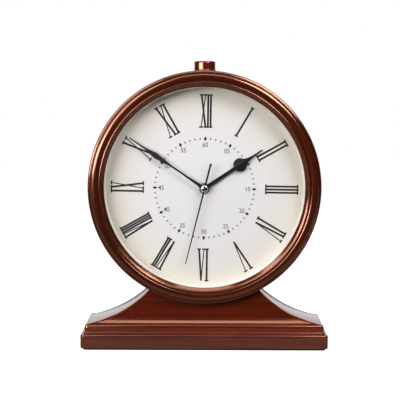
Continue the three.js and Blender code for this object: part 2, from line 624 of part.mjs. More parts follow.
function makeMotionWork() {
  const settingPhase = phaseInMesh('setting', CENTRE_AXIS, SET_AXIS);
  const hourPhase = phaseInMesh('hour', SET_AXIS, CENTRE_AXIS);

  const pipe = (radius, hand, back) =>
    rod(radius, hand.back - HAND_THICKNESS - 0.5, back, 0, SHAFT_Z, FACETS.round);
  const minutePipe = pipe(PIPE.minute, MINUTE_HAND, LAYER.centre + WHEEL);
  const secondBore = rod(PIPE.minuteBore, -30, 0, 0, SHAFT_Z, FACETS.small);
  const cannon = gear('setting', true, 0, LAYER.cannon, WHEEL, CENTRE_AXIS);
  addPiece('cannon_pinion', cut(minutePipe.add(cannon), secondBore), brass);

  const hourPipe = pipe(PIPE.hour, HOUR_HAND, LAYER.hour + WHEEL);
  const minuteBore = rod(PIPE.hourBore, -30, 0, 0, SHAFT_Z, FACETS.round);
  const hourWheel = gear('hour', false, hourPhase, LAYER.hour, WHEEL, CENTRE_AXIS);
  addPiece('hour_wheel', cut(hourPipe.add(hourWheel), minuteBore), brass);

  const [x, z] = offAxis(SET_AXIS);
  const setting = joined(
    gear('setting', false, settingPhase, LAYER.cannon, WHEEL, SET_AXIS),
    gear('hour', true, 0, LAYER.hour, LAYER.cannon - LAYER.hour + 0.1, SET_AXIS),
    rod(KNOB.shaft, LAYER.cannon + 0.5, KNOB.back - 1.5, x, z, FACETS.small),
    rod(PIVOT.radius, MOVEMENT.front + 0.2, LAYER.hour + 0.5, x, z, FACETS.fine));
  addPiece('setting_wheel', setting, whitePlastic);
}

function makeSetKnob() {
  const [x, z] = offAxis(SET_AXIS);
  const { radius, front, back, shaft } = KNOB;
  const knob = turned([[0, front], [radius - 0.6, front], [radius, front + 0.8], [radius, back - 0.8],
    [radius - 0.6, back], [0, back]], x, z, FACETS.round);
  addPiece('set_knob', cut(knob, rod(shaft + 0.1, front - 1, back - 1.2, x, z, FACETS.small)), blackPlastic);
}

// ---- motor and circuit --------------------------------------------------------------------
const STATOR = {
  front: -4.8, back: -3.9, left: -22.5, right: 9.5, bottom: 12.4, top: 25.4, barTop: 18.7, gap: [-19.4, 0.3],
};
const COIL = { from: -18.4, to: -0.9, up: 22.4, radius: 3.2, barrel: 1.9, flange: 0.8 };
const CORE = { half: 1.4, front: -6.9, back: -5.1, from: -22.3, to: 3.6 };

function makeMotor() {
  const { front, back, left, right, bottom, top, barTop } = STATOR;
  const outline = new THREE.Shape();
  const [gapLeft, gapRight] = STATOR.gap; // the coil sits in this notch
  const corners = [[left, bottom], [right, bottom], [right, top], [gapRight, top], [gapRight, barTop],
    [gapLeft, barTop], [gapLeft, top], [left, top]];
  corners.forEach(([across, up], i) => {
    const place = [across, SHAFT_Z + up];
    if (i === 0) outline.moveTo(...place);
    else outline.lineTo(...place);
  });
  outline.closePath();
  const rotorRoom = rod(2.9, front - 1, back + 1, ...offAxis(ROTOR_AXIS), FACETS.small);
  addPiece('stator', cut(slabY(outline, front, back), rotorRoom), steel);

  const coreUp = [SHAFT_Z + COIL.up - CORE.half, SHAFT_Z + COIL.up + CORE.half];
  addPiece('coil_core', box([CORE.from, CORE.to], [CORE.front, CORE.back], coreUp), steel);

  const coilZ = SHAFT_Z + COIL.up;
  const coilY = (CORE.front + CORE.back) / 2;
  const along = (profile) => turnedAlongX(profile, coilY, coilZ, FACETS.small);
  const { barrel, flange } = COIL;
  const bobbin = along([[0, COIL.from], [COIL.radius, COIL.from], [COIL.radius, COIL.from + flange],
    [barrel, COIL.from + flange], [barrel, COIL.to - flange], [COIL.radius, COIL.to - flange],
    [COIL.radius, COIL.to], [0, COIL.to]]);
  const slot = box([COIL.from - 1, COIL.to + 1], [CORE.front - 0.1, CORE.back + 0.1],
    [coreUp[0] - 0.1, coreUp[1] + 0.1]);
  addPiece('coil_bobbin', cut(bobbin, slot), whitePlastic);
  const wound = [COIL.from + flange + 0.1, COIL.to - flange - 0.1];
  const bore = barrel + 0.1;
  const full = COIL.radius - 0.3;
  addPiece('coil_winding', along([[bore, wound[0]], [full, wound[0]], [full, wound[1]], [bore, wound[1]],
    [bore, wound[0]]]), copper);
}

function makeCircuit() {
  const board = box([13.6, 26], [-5.4, -4.4], [SHAFT_Z + 4, SHAFT_Z + 25.4]);
  const chip = rod(3, -6.2, -5.2, 19.5, SHAFT_Z + 19.5, 16);
  addPiece('circuit_board', board.add(chip), greenBoard);
  const can = [[0, 7], [1, 7], [1, 13.2], [0, 13.2]].map(([radius, up]) => [radius, SHAFT_Z + up]);
  addPiece('quartz_crystal', turnedUpright(can, 17, -6.7, FACETS.small), chrome);
}

// ---- battery ------------------------------------------------------------------------------
const CELL = { radius: 7.1, half: 24.4, nub: 2.7, nubLength: 1, depth: -6.6, up: -19.4 };

function makeBattery() {
  const { radius, half, nub, nubLength, depth, up } = CELL;
  const profile = [[0, -half], [radius - 0.6, -half], [radius, -half + 0.6], [radius, half - 0.6],
    [radius - 0.6, half], [nub, half], [nub, half + nubLength], [0, half + nubLength]];
  addPiece('battery', turnedAlongX(profile, depth, SHAFT_Z + up, FACETS.round), cellLabel);

  const sheet = 0.5;
  const low = SHAFT_Z + up - 5;
  const high = SHAFT_Z + up + 5;
  const positive = box([BAY.half - 0.2 - sheet, BAY.half - 0.2], [-13.6, -1], [low, high]);
  addPiece('contact_positive', positive, steel);
  const plate = box([-BAY.half + 0.2, -BAY.half + 0.2 + sheet], [-13.6, -1], [low, high]);
  const cone = new THREE.CylinderGeometry(0.9, 3, 1.4, FACETS.small).rotateZ(-Math.PI / 2);
  const spring = solid(cone.translate(-BAY.half + 0.2 + sheet + 0.6, depth, SHAFT_Z + up));
  addPiece('contact_negative', plate.add(spring), steel);
}

// ---- rear cover and access door -----------------------------------------------------------
const COVER_SCREW = {
  angles: [45, 135, 225, 315], pitch: 98.8, shank: 1.4, head: 2.7, headHeight: 1.8, grip: 6,
};
const MAGNET = { left: 41, right: 47, half: 6, floor: 23.9 };
const KNUCKLES = [[-HINGE.reach, -HINGE.reach / 3], [-HINGE.reach / 3, HINGE.reach / 3],
  [HINGE.reach / 3, HINGE.reach]];

function coverScrewPlace(angle) {
  const radians = THREE.MathUtils.degToRad(angle);
  return [COVER_SCREW.pitch * Math.cos(radians), CASE_Z + COVER_SCREW.pitch * Math.sin(radians)];
}

// A rod along the hinge's axis, its ends given as heights from the middle of the door.
function hingeRod(radius, bottom, top) {
  return uprightRod(radius, CASE_Z + bottom, CASE_Z + top, HINGE.x, HINGE.y);
}

function hingeBore() {
  return hingeRod(HINGE.pin + 0.1, -HINGE.reach - 1, HINGE.reach + 1);
}

function makeRearCover() {
  const disc = rod(COVER.radius, COVER.front, COVER.back, 0, CASE_Z, FACETS.ring);
  const window = roundedRectangle(COVER.window, COVER.window, DOOR.corner, 0, CASE_Z);
  const opening = slabY(window, COVER.front - 1, COVER.back + 1, 3);
  let cover = cut(disc, opening);
  for (const [bottom, top] of [KNUCKLES[0], KNUCKLES[2]]) {
    const ends = [bottom + GAP / 2, top - GAP / 2];
    const web = box([HINGE.x - HINGE.knuckle, HINGE.x + HINGE.knuckle], [COVER.back - 0.5, HINGE.y],
      ends.map((up) => CASE_Z + up));
    cover = joined(cover, web, hingeRod(HINGE.knuckle, ...ends));
  }
  cover = cut(cover, hingeBore());
  for (const angle of COVER_SCREW.angles) {
    const [x, z] = coverScrewPlace(angle);
    cover = cut(cover, rod(COVER_SCREW.shank + GAP, COVER.front - 1, COVER.back + 1, x, z));
  }
  const { left, right, half, floor } = MAGNET;
  const across = (room) => [left - room, right + room];
  const upright = (room) => [CASE_Z - half - room, CASE_Z + half + room];
  const magnetPocket = box(across(GAP), [floor - GAP, COVER.back + 1], upright(GAP));
  const magnetLedge = box([left - 1, right + 2], [COVER.front, COVER.back], upright(3));
  addPiece('rear_cover', cut(cover.add(magnetLedge), magnetPocket), blackPlastic);
  addPiece('door_magnet', box(across(0), [floor, COVER.back], upright(0)), steel);
}

function makeAccessDoor() {
  const [bottom, top] = KNUCKLES[1];
  const outline = roundedRectangle(DOOR.half, DOOR.half, DOOR.corner, 0, CASE_Z);
  const panel = slabY(outline, DOOR.front, DOOR.back, 3);
  const ends = [bottom + GAP, top - GAP];
  const arm = box([HINGE.x, -DOOR.half + 1], [HINGE.y - 1, DOOR.back], ends.map((up) => CASE_Z + up));
  const barrel = hingeRod(HINGE.knuckle, ...ends);
  const pullHole = rod(1.3, DOOR.front - 1, DOOR.back + 1, PULL.x, CASE_Z, FACETS.small);
  addPiece('access_door', cut(joined(panel, arm, barrel), hingeBore(), pullHole), blackPlastic);
  addPiece('hinge_pin', hingeRod(HINGE.pin, -HINGE.reach - 0.6, HINGE.reach + 0.6), steel);
}

const PULL = { x: 42.5, stem: 1, collar: 2.6, waist: 2, head: 4.6, back: 36.4 };

function makeDoorPull() {
  const base = DOOR.back + CONTACT;
  const profile = [[0, DOOR.front + 0.4], [PULL.stem, DOOR.front + 0.4], [PULL.stem, base],
    [PULL.collar + 1, base], [PULL.collar, base + 1], [PULL.waist, base + 2.6], [PULL.head, base + 4.8],
    [PULL.head, base + 6.2], [PULL.head - 1.6, PULL.back - 0.4], [0, PULL.back]];
  addPiece('door_pull', turned(profile, PULL.x, CASE_Z, FACETS.small), brass);
}

function makeCoverScrews() {
  COVER_SCREW.angles.forEach((angle, i) => {
    const [x, z] = coverScrewPlace(angle);
    const { shank, head, headHeight, grip } = COVER_SCREW;
    const base = COVER.back + CONTACT;
    const tip = COVER.front - grip;
    const profile = [[0, tip], [shank, tip], [shank, base], [head, base], [head, base + headHeight / 2],
      [head - 1, base + headHeight], [0, base + headHeight]];
    const slot = box([x - 4, x + 4], [base + 1, base + 4], [z - 0.4, z + 0.4]);
    addPiece(`cover_screw_${i + 1}`, cut(turned(profile, x, z, FACETS.small), slot), steel);
  });
}

// ---- top button ---------------------------------------------------------------------------
const SPRING = { radius: 6.6, wire: 0.45, bottom: 280.8, top: 290, turns: 4.5 };
const SWITCH = { half: 3.5, bottom: 245.8, top: 249.7, plunger: 1.2, plungerTop: 251.5 };

class Helix extends THREE.Curve {
  getPoint(t, target = new THREE.Vector3()) {
    const angle = fullTurn * SPRING.turns * t;
    const height = SPRING.bottom + (SPRING.top - SPRING.bottom) * t;
    return target.set(SPRING.radius * Math.cos(angle), SPRING.radius * Math.sin(angle), height);
  }
}

function sweep(curve, radius, sides, steps) {
  const section = new THREE.Shape();
  for (let i = 0; i < sides; i += 1) {
    const angle = fullTurn * i / sides;
    const place = [radius * Math.cos(angle), radius * Math.sin(angle)];
    if (i === 0) section.moveTo(...place);
    else section.lineTo(...place);
  }
  section.closePath();
  return solid(new THREE.ExtrudeGeometry(section, { extrudePath: curve, steps, bevelEnabled: false }));
}

function makeButton() {
  const { radius, top, skirt, bore, roof } = BUTTON;
  const stem = STEM.radius;
  const cap = turnedUpright([[bore, skirt], [radius + 0.3, skirt], [radius + 0.4, skirt + 0.7],
    [radius, skirt + 1.4], [radius, top - 2], [radius - 0.6, top - 0.6], [radius - 2, top], [0, top],
    [0, STEM.end], [stem, STEM.end], [stem, roof], [bore, roof], [bore, skirt]], 0, 0, 24);
  addPiece('top_button', cap, lacquer);

  const bottom = COLLAR.bottom;
  const boreRadius = stem + GAP;
  addPiece('button_collar', turnedUpright([[boreRadius, bottom], [COLLAR.neck, bottom],
    [COLLAR.neck, COLLAR.seat + 0.1], [COLLAR.radius, COLLAR.seat + 0.1], [COLLAR.radius, COLLAR.top - 0.8],
    [COLLAR.radius - 0.8, COLLAR.top], [boreRadius, COLLAR.top], [boreRadius, bottom]]), brass);

  addPiece('button_spring', sweep(new Helix(), SPRING.wire, 5, 36), steel);

  const clip = { bore: stem + 0.1, radius: stem + 2.4, top: bottom - GAP, thickness: 1 };
  const clipBottom = clip.top - clip.thickness;
  const clipProfile = [[clip.bore, clipBottom], [clip.radius, clipBottom], [clip.radius, clip.top],
    [clip.bore, clip.top], [clip.bore, clipBottom]];
  addPiece('button_clip', turnedUpright(clipProfile, 0, 0, FACETS.small), steel);
}

function makeSwitch() {
  const { half, foot, front, back, shelf, sheet, flange } = BRACKET;
  const parts = [box([-half, half], [front, back], [shelf, shelf + sheet])];
  for (const side of [-1, 1]) {
    const leg = [side * half, side * (half - sheet)].sort((a, b) => a - b);
    const toe = [side * (half - sheet), side * foot].sort((a, b) => a - b);
    parts.push(box(leg, [front, back], [shelf, flange + sheet]));
    parts.push(box(toe, [front, back], [flange, flange + sheet]));
  }
  const leadHole = uprightRod(1.2, shelf - 1, shelf + sheet + 1);
  addPiece('switch_bracket', cut(joined(...parts), leadHole), steel);

  const side = [-SWITCH.half, SWITCH.half];
  const body = box(side, side, [SWITCH.bottom, SWITCH.top]);
  const plunger = uprightRod(SWITCH.plunger, SWITCH.top - 0.5, SWITCH.plungerTop);
  addPiece('tact_switch', body.add(plunger), blackPlastic);

  const movementTop = SHAFT_Z + MOVEMENT.half + GAP;
  const route = new THREE.CatmullRomCurve3([
    new THREE.Vector3(0, 0, SWITCH.bottom - GAP), new THREE.Vector3(0, 0, 239),
    new THREE.Vector3(3, -2, 226), new THREE.Vector3(10, -5, 214), new THREE.Vector3(15, -8, 203),
    new THREE.Vector3(16, -9, movementTop)]);
  addPiece('switch_lead', sweep(route, 0.8, 6, 14), rubber);
}

// ---- the clock ----------------------------------------------------------------------------
makeBase();
makeSaddle();
makeCaseScrews();
makeDrum();
makeBezel();
makeGlassAndDial();
makeHourHand();
makeMinuteHand();
makeSecondHand();
makeDialFixings();
makeMovementFront();
makeMovementBack();
makeGearPlate();
makeGoingTrain();
makeMotionWork();
makeSetKnob();
makeMotor();
makeCircuit();
makeBattery();
makeRearCover();
makeAccessDoor();
makeDoorPull();
makeCoverScrews();
makeButton();
makeSwitch();

export default clock;
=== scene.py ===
"""Visual model of a drum-head mantel clock in gloss red-brown wood, built over its CAD frame."""

import json
import math

import bmesh
import bpy
from mathutils import Matrix, Vector

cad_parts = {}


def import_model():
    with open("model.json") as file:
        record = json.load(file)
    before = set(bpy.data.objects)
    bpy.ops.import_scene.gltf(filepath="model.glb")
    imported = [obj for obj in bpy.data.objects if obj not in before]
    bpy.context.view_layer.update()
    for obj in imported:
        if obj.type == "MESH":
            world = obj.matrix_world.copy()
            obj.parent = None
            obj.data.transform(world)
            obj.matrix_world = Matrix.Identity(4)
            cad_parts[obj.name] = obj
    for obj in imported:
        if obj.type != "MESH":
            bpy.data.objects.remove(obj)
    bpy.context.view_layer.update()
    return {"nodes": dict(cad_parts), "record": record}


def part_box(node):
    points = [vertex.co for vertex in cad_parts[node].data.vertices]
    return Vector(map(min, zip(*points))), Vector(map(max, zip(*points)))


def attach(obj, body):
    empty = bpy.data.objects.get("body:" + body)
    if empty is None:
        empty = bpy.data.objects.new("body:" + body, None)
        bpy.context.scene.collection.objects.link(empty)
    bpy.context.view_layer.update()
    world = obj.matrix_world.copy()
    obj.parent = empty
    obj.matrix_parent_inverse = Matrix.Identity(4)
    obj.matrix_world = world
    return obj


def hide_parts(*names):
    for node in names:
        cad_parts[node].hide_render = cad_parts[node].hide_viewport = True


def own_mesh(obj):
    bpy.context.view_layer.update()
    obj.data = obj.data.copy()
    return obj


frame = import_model()

MM = 0.001  # lengths below are in millimetres unless a name says otherwise
TURN = 2 * math.pi
DIAL_TURN = 0.8  # degrees that the dial and hands sit clockwise of upright


def box_mm(node):
    """The lowest and highest corner of a CAD node, in millimetres."""
    low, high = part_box(node)
    return low / MM, high / MM


def round_mm(node):
    """A round node's lowest and highest corner and its radius, in millimetres."""
    low, high = box_mm(node)
    return low, high, (high.x - low.x) / 2


def middle(node):
    low, high = box_mm(node)
    return (low + high) / 2


CENTRE = middle("glass")  # on the drum's axis
CENTRE.y = 0
SHAFT = middle("hand_cap")  # on the axis of the hands
SHAFT.y = 0
UPRIGHT_AXIS = (0, 0, 0)  # axis of the top button and its collar
BUSH_ROOM = 4.3  # radius of the hole that the hand bush passes through


# ---- geometry helpers: each shape is a (vertices, faces) pair in millimetres
MOST_OF_EDGE = 0.49  # of an edge's length, the most that one rounded corner may take up


def fillet(corners, closed=True, steps=5):
    """A corner given as (a, b, radius) becomes an arc of that radius; one given as (a, b) stays sharp."""
    points = []
    for i, corner in enumerate(corners):
        at_end = not closed and i in (0, len(corners) - 1)
        if len(corner) < 3 or at_end:
            points.append((corner[0], corner[1]))
            continue
        here = Vector(corner[:2])
        back = Vector(corners[i - 1][:2]) - here
        on = Vector(corners[(i + 1) % len(corners)][:2]) - here
        half = back.angle(on) / 2
        reach = min(corner[2] / math.tan(half), MOST_OF_EDGE * back.length, MOST_OF_EDGE * on.length)
        radius = reach * math.tan(half)
        centre = here + (back.normalized() + on.normalized()).normalized() * radius / math.sin(half)
        first = here + back.normalized() * reach - centre
        last = here + on.normalized() * reach - centre
        start = math.atan2(first.y, first.x)
        sweep = (math.atan2(last.y, last.x) - start + math.pi) % TURN - math.pi
        for k in range(steps + 1):
            angle = start + sweep * k / steps
            points.append((centre.x + radius * math.cos(angle), centre.y + radius * math.sin(angle)))
    return points


def arc(centre, radii, first, last, steps):
    """Points on an ellipse's arc between two angles in degrees."""
    angles = [math.radians(first + (last - first) * k / steps) for k in range(steps + 1)]
    return [(centre[0] + radii[0] * math.cos(a), centre[1] + radii[1] * math.sin(a)) for a in angles]


def bands(rings, closed):
    """Quads between neighbouring rings of vertex numbers, with triangles where a ring is one vertex."""
    faces = []
    pairs = list(zip(rings, rings[1:]))
    if closed:
        pairs.append((rings[-1], rings[0]))
    for a, b in pairs:
        count = max(len(a), len(b))
        for i in range(count):
            j = (i + 1) % count
            quad = [a[i % len(a)], a[j % len(a)], b[j % len(b)], b[i % len(b)]]
            faces.append(list(dict.fromkeys(quad)))
    return faces


def lathe(profile, centre, axis="Y", segments=192, closed=False, ripple=None):
    """Turned work: the profile is (radius, distance along the axis) points, closed for a ring."""
    vertices, rings = [], []
    for radius, along in profile:
        count = segments if radius > 1e-6 else 1
        rings.append(range(len(vertices), len(vertices) + count))
        for i in range(count):
            angle = TURN * i / segments
            r = radius * ripple(angle) if ripple else radius
            u, v = r * math.cos(angle), r * math.sin(angle)
            place = {"X": (along, u, v), "Y": (u, along, v), "Z": (u, v, along)}[axis]
            vertices.append(Vector(place) + Vector(centre))
    return vertices, bands(rings, closed)


def stack(loops):
    """A closed body through loops of equal length, with flat ends."""
    count = len(loops[0])
    vertices = [vertex for loop in loops for vertex in loop]
    rings = [range(k * count, (k + 1) * count) for k in range(len(loops))]
    return vertices, [list(rings[0]), *bands(rings, False), list(rings[-1])]


def rounded_loop(half_u, half_v, corner, steps=6):
    points = []
    for quarter, (su, sv) in enumerate(((1, 1), (-1, 1), (-1, -1), (1, -1))):
        for k in range(steps + 1):
            angle = math.pi / 2 * (quarter + k / steps)
            u = su * (half_u - corner) + corner * math.cos(angle)
            points.append((u, sv * (half_v - corner) + corner * math.sin(angle)))
    return points


def moulded_block(node, corner, section):
    """A rounded block with a moulded edge: the section is (inset, height) points from the bottom up."""
    low, high = box_mm(node)
    centre = (low + high) / 2
    half = (high - low) / 2
    loops = []
    for inset, z in section:
        outline = rounded_loop(half.x - inset, half.y - inset, max(corner - inset, 0.4))
        loops.append([Vector((centre.x + u, centre.y + v, z)) for u, v in outline])
    return stack(loops)


def slab(outline, front, back, edge=0.0, edge_steps=3):
    """A plate standing across Y from an outline of (x, z) points, its front and back edges rounded."""
    inward = inset_normals(outline)
    levels = []
    for k in range(edge_steps + 1 if edge else 1):
        angle = math.pi / 2 * k / edge_steps
        levels.append((edge * (1 - math.sin(angle)), edge * (1 - math.cos(angle))))
    levels = [(inset, front + depth) for inset, depth in levels]
    levels += [(inset, back - (y - front)) for inset, y in reversed(levels)]
    loops = []
    for inset, y in levels:
        loops.append([Vector((x + inset * nx, y, z + inset * nz))
                      for (x, z), (nx, nz) in zip(outline, inward)])
    return stack(loops)


def inset_normals(outline):
    """A unit vector pointing into the outline at each of its points."""
    area = sum(a[0] * b[1] - b[0] * a[1] for a, b in zip(outline, outline[1:] + outline[:1]))
    side = 1 if area > 0 else -1
    normals = []
    for i, point in enumerate(outline):
        before = Vector(point) - Vector(outline[i - 1])
        after = Vector(outline[(i + 1) % len(outline)]) - Vector(point)
        along = before.normalized() + after.normalized()
        normals.append(Vector((-along.y, along.x)).normalized() * side)
    return normals


def block(left, right, bottom, top, front, back):
    return slab([(left, bottom), (right, bottom), (right, top), (left, top)], front, back)


def cylinder(radius, start, end, centre, axis="Y", segments=48):
    return lathe([(0, start), (radius, start), (radius, end), (0, end)], centre, axis, segments)


def tube_along(path, radius, sides=10):
    """A round wire along a path of points, with flat ends."""
    loops = []
    for i, point in enumerate(path):
        ahead = path[min(i + 1, len(path) - 1)] - path[max(i - 1, 0)]
        across = ahead.cross(Vector((0, 0, 1))).normalized()
        up = across.cross(ahead).normalized()
        loops.append([point + radius * (across * math.cos(a) + up * math.sin(a))
                      for a in (TURN * k / sides for k in range(sides))])
    return stack(loops)


def together(shapes):
    vertices, faces = [], []
    for more_vertices, more_faces in shapes:
        start = len(vertices)
        vertices += more_vertices
        faces += [[start + i for i in face] for face in more_faces]
    return vertices, faces


# ---- pieces
WELD, SLIVER = 2e-6, 1e-6  # metres: points closer than this are joined, and edges shorter are dropped


def mesh_from(name, shape):
    vertices, faces = shape
    mesh = bpy.data.meshes.new(name)
    mesh.from_pydata([Vector(v) * MM for v in vertices], [], faces)
    work = bmesh.new()
    work.from_mesh(mesh)
    bmesh.ops.remove_doubles(work, verts=work.verts, dist=WELD)
    bmesh.ops.dissolve_degenerate(work, edges=work.edges, dist=SLIVER)
    bmesh.ops.recalc_face_normals(work, faces=work.faces)
    work.to_mesh(mesh)
    work.free()
    return mesh


def linked(name, data):
    thing = bpy.data.objects.new(name, data)
    bpy.context.scene.collection.objects.link(thing)
    return thing


def plain_object(name, shape):
    return linked(name, mesh_from(name, shape))


def carve(piece, shape, operation="DIFFERENCE"):
    """Cuts a shape out of a piece, or joins it on, and keeps the result as the piece's mesh."""
    tool = plain_object("tool", shape)
    modifier = piece.modifiers.new("carve", "BOOLEAN")
    modifier.operation = operation
    modifier.solver = "EXACT"
    modifier.object = tool
    graph = bpy.context.evaluated_depsgraph_get()
    mesh = bpy.data.meshes.new_from_object(piece.evaluated_get(graph))
    piece.modifiers.clear()
    piece.data = mesh
    bpy.data.objects.remove(tool)


def shaded(piece, material, smooth_angle=35):
    mesh = piece.data
    mesh.materials.clear()
    mesh.materials.append(material)
    mesh.polygons.foreach_set("use_smooth", [True] * len(mesh.polygons))
    mesh.set_sharp_from_angle(angle=math.radians(smooth_angle))


def add_piece(name, shape, material, node=None, body="root", cuts=(), joins=(), smooth_angle=35):
    """A new piece riding on a body, with its finish's slot, standing for a CAD node if one is named."""
    piece = plain_object(name, shape)
    for extra in joins:
        carve(piece, extra, "UNION")
    for hole in cuts:
        carve(piece, hole)
    shaded(piece, MATERIAL[material], smooth_angle)
    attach(piece, body)
    if node:
        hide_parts(node)
    return piece


# ---- materials
class Finish:
    """A procedural material: textures in object space feeding one Principled shader."""

    def __init__(self, name, **constants):
        self.material = bpy.data.materials.new(name)
        self.material.use_nodes = True
        self.tree = self.material.node_tree
        self.shader = self.tree.nodes["Principled BSDF"]
        self.position = self.node("TexCoord").outputs["Object"]
        for socket, value in constants.items():
            self.shader.inputs[socket.replace("_", " ")].default_value = value

    def node(self, kind, inputs=None, **settings):
        node = self.tree.nodes.new("ShaderNode" + kind)
        for key, value in settings.items():
            setattr(node, key, value)
        for socket, value in (inputs or {}).items():
            if isinstance(value, bpy.types.NodeSocket):
                self.tree.links.new(value, node.inputs[socket])
            else:
                node.inputs[socket].default_value = value
        return node

    def vector(self, operation, first, second=(0, 0, 0)):
        node = self.node("VectorMath", {0: first, 1: second}, operation=operation)
        return node.outputs["Value" if operation == "LENGTH" else "Vector"]

    def scaled(self, scale, source=None):
        return self.vector("MULTIPLY", source or self.position, scale)

    def number(self, operation, first, second=0.0):
        return self.node("Math", {0: first, 1: second}, operation=operation).outputs["Value"]

    def noise(self, vector, scale=1.0, detail=4.0, roughness=0.55, distortion=0.0, fourth=None):
        inputs = {"Vector": vector, "Scale": scale, "Detail": detail, "Roughness": roughness,
                  "Distortion": distortion}
        if fourth is None:
            return self.node("TexNoise", inputs).outputs["Fac"]
        inputs["W"] = fourth
        return self.node("TexNoise", inputs, noise_dimensions="4D").outputs["Fac"]

    def ramp(self, factor, stops, interpolation="LINEAR"):
        """A colour ramp; each stop is (place, colour), a colour being a grey value or three channels."""
        node = self.node("ValToRGB", {"Fac": factor})
        node.color_ramp.interpolation = interpolation
        elements = node.color_ramp.elements
        while len(elements) < len(stops):
            elements.new(0.5)
        for element, (place, colour) in zip(elements, stops):
            channels = colour if isinstance(colour, tuple) else (colour,) * 3
            element.position = place
            element.color = (*channels, 1)
        return node.outputs["Color"]

    def mixed(self, factor, first, second, blend="MIX"):
        node = self.node("Mix", data_type="RGBA", blend_type=blend)
        for index, value in ((0, factor), (6, first), (7, second)):
            if isinstance(value, bpy.types.NodeSocket):
                self.tree.links.new(value, node.inputs[index])
            else:
                node.inputs[index].default_value = (*value, 1) if isinstance(value, tuple) else value
        return node.outputs[2]

    def spread(self, source, low, high):
        """A noise value, which keeps near its middle, stretched over a range."""
        inputs = {"Value": source, "From Min": 0.3, "From Max": 0.7, "To Min": low, "To Max": high}
        return self.node("MapRange", inputs).outputs["Result"]

    def speckle(self, scale, detail=4.0, roughness=0.55):
        return self.noise(self.position, scale, detail, roughness)

    def feed(self, socket, source):
        self.tree.links.new(source, self.shader.inputs[socket])

    def colour(self, factor, stops, interpolation="LINEAR"):
        self.feed("Base Color", self.ramp(factor, stops, interpolation))

    def roughness(self, source, low, high):
        self.feed("Roughness", self.spread(source, low, high))

    def show(self, shader):
        output = self.tree.nodes["Material Output"]
        self.tree.links.new(shader.outputs["Shader"], output.inputs["Surface"])

    def bump(self, height, depth_mm, strength=1.0, socket="Normal"):
        inputs = {"Height": height, "Strength": strength, "Distance": depth_mm * MM}
        self.feed(socket, self.node("Bump", inputs).outputs["Normal"])


LACQUER = {
    "IOR": 1.8, "Specular_IOR_Level": 1.0, "Specular_Tint": (1.0, 0.4, 0.2, 1.0),
    "Coat_Weight": 0.6, "Coat_Roughness": 0.05, "Coat_IOR": 1.5,
}


def wood_layers(finish, streak, figure, fleck, dark, mid, light):
    """Colour, roughness and relief that straight and turned wood share."""
    colour = finish.ramp(streak, [(0.3, dark), (0.5, mid), (0.72, light)])
    shade = finish.ramp(figure, [(0.32, 0.72), (0.68, 1.18)])
    colour = finish.mixed(1.0, colour, shade, "MULTIPLY")
    pores = finish.ramp(fleck, [(0.34, 0.55), (0.44, 1.0)])
    finish.feed("Base Color", finish.mixed(0.6, colour, pores, "MULTIPLY"))
    finish.roughness(streak, 0.21, 0.14)
    wear = finish.speckle(70, 3, 0.6)
    height = finish.number("ADD", finish.number("MULTIPLY", streak, 0.35), wear)
    finish.bump(height, 0.006, 0.5)
    ripple = finish.speckle(38, 2, 0.5)
    finish.bump(ripple, 0.05, 0.2, "Coat Normal")


def straight_wood(name, dark, mid, light):
    """Lacquered wood whose grain runs along X."""
    finish = Finish(name, **LACQUER)
    bend = finish.speckle(9, 2, 0.5)
    shift = finish.node("CombineXYZ", {"X": 0.0, "Y": bend, "Z": bend}).outputs["Vector"]
    flowing = finish.vector("ADD", finish.position, finish.scaled((0, 0.006, 0.006), shift))
    streak = finish.noise(finish.scaled((13, 420, 420), flowing), 1, 6, 0.62)
    figure = finish.noise(finish.scaled((4, 75, 75), flowing), 1, 3, 0.5)
    fleck = finish.noise(finish.scaled((240, 2600, 2600), flowing), 1, 3, 0.5)
    wood_layers(finish, streak, figure, fleck, dark, mid, light)
    return finish.material


def turned_wood(name, dark, mid, light):
    """Lacquered wood whose grain runs round the drum."""
    finish = Finish(name, **LACQUER)
    offset = finish.vector("SUBTRACT", finish.position, tuple(CENTRE * MM))
    flat = finish.scaled((1, 0, 1), offset)
    radius = finish.vector("LENGTH", flat)
    turn = finish.vector("NORMALIZE", flat)
    depth = finish.node("SeparateXYZ", {"Vector": offset}).outputs["Y"]

    def round_noise(along, across, detail, roughness):
        out = finish.number("MULTIPLY", radius, across)
        lift = finish.node("CombineXYZ", {"X": 0.0, "Y": out, "Z": 0.0}).outputs["Vector"]
        place = finish.vector("ADD", finish.scaled((along, 0, along), turn), lift)
        fourth = finish.number("MULTIPLY", depth, across)
        return finish.noise(place, 1, detail, roughness, 0.0, fourth)

    streak = round_noise(1.6, 400, 5, 0.6)
    figure = round_noise(1.1, 80, 3, 0.5)
    fleck = round_noise(26, 2400, 2, 0.5)
    wood_layers(finish, streak, figure, fleck, dark, mid, light)
    return finish.material


def metal(name, colour, roughness, brushed=(300, 300, 300), scratch_mm=0.004, anisotropy=0.0):
    finish = Finish(name, Metallic=1.0, Anisotropic=anisotropy)
    tarnish = finish.speckle(160, 4, 0.6)
    darker = tuple(channel * 0.78 for channel in colour)
    finish.colour(tarnish, [(0.35, darker), (0.6, colour)])
    scratch = finish.noise(finish.scaled(brushed), 1, 4, 0.6)
    finish.roughness(scratch, roughness * 0.75, roughness * 1.35)
    finish.bump(scratch, scratch_mm, 0.6)
    return finish.material


def plastic(name, colour, roughness, grain_scale=2600, grain_mm=0.02, fade=0.9):
    finish = Finish(name, IOR=1.48)
    cloud = finish.speckle(45, 4, 0.6)
    darker = tuple(channel * fade for channel in colour)
    finish.colour(cloud, [(0.35, darker), (0.65, colour)])
    grain = finish.speckle(grain_scale, 3, 0.6)
    scuff = finish.noise(finish.scaled((90, 400, 700)), 1, 5, 0.65)
    finish.roughness(scuff, roughness * 0.85, roughness * 1.2)
    finish.bump(grain, grain_mm, 0.5)
    return finish.material


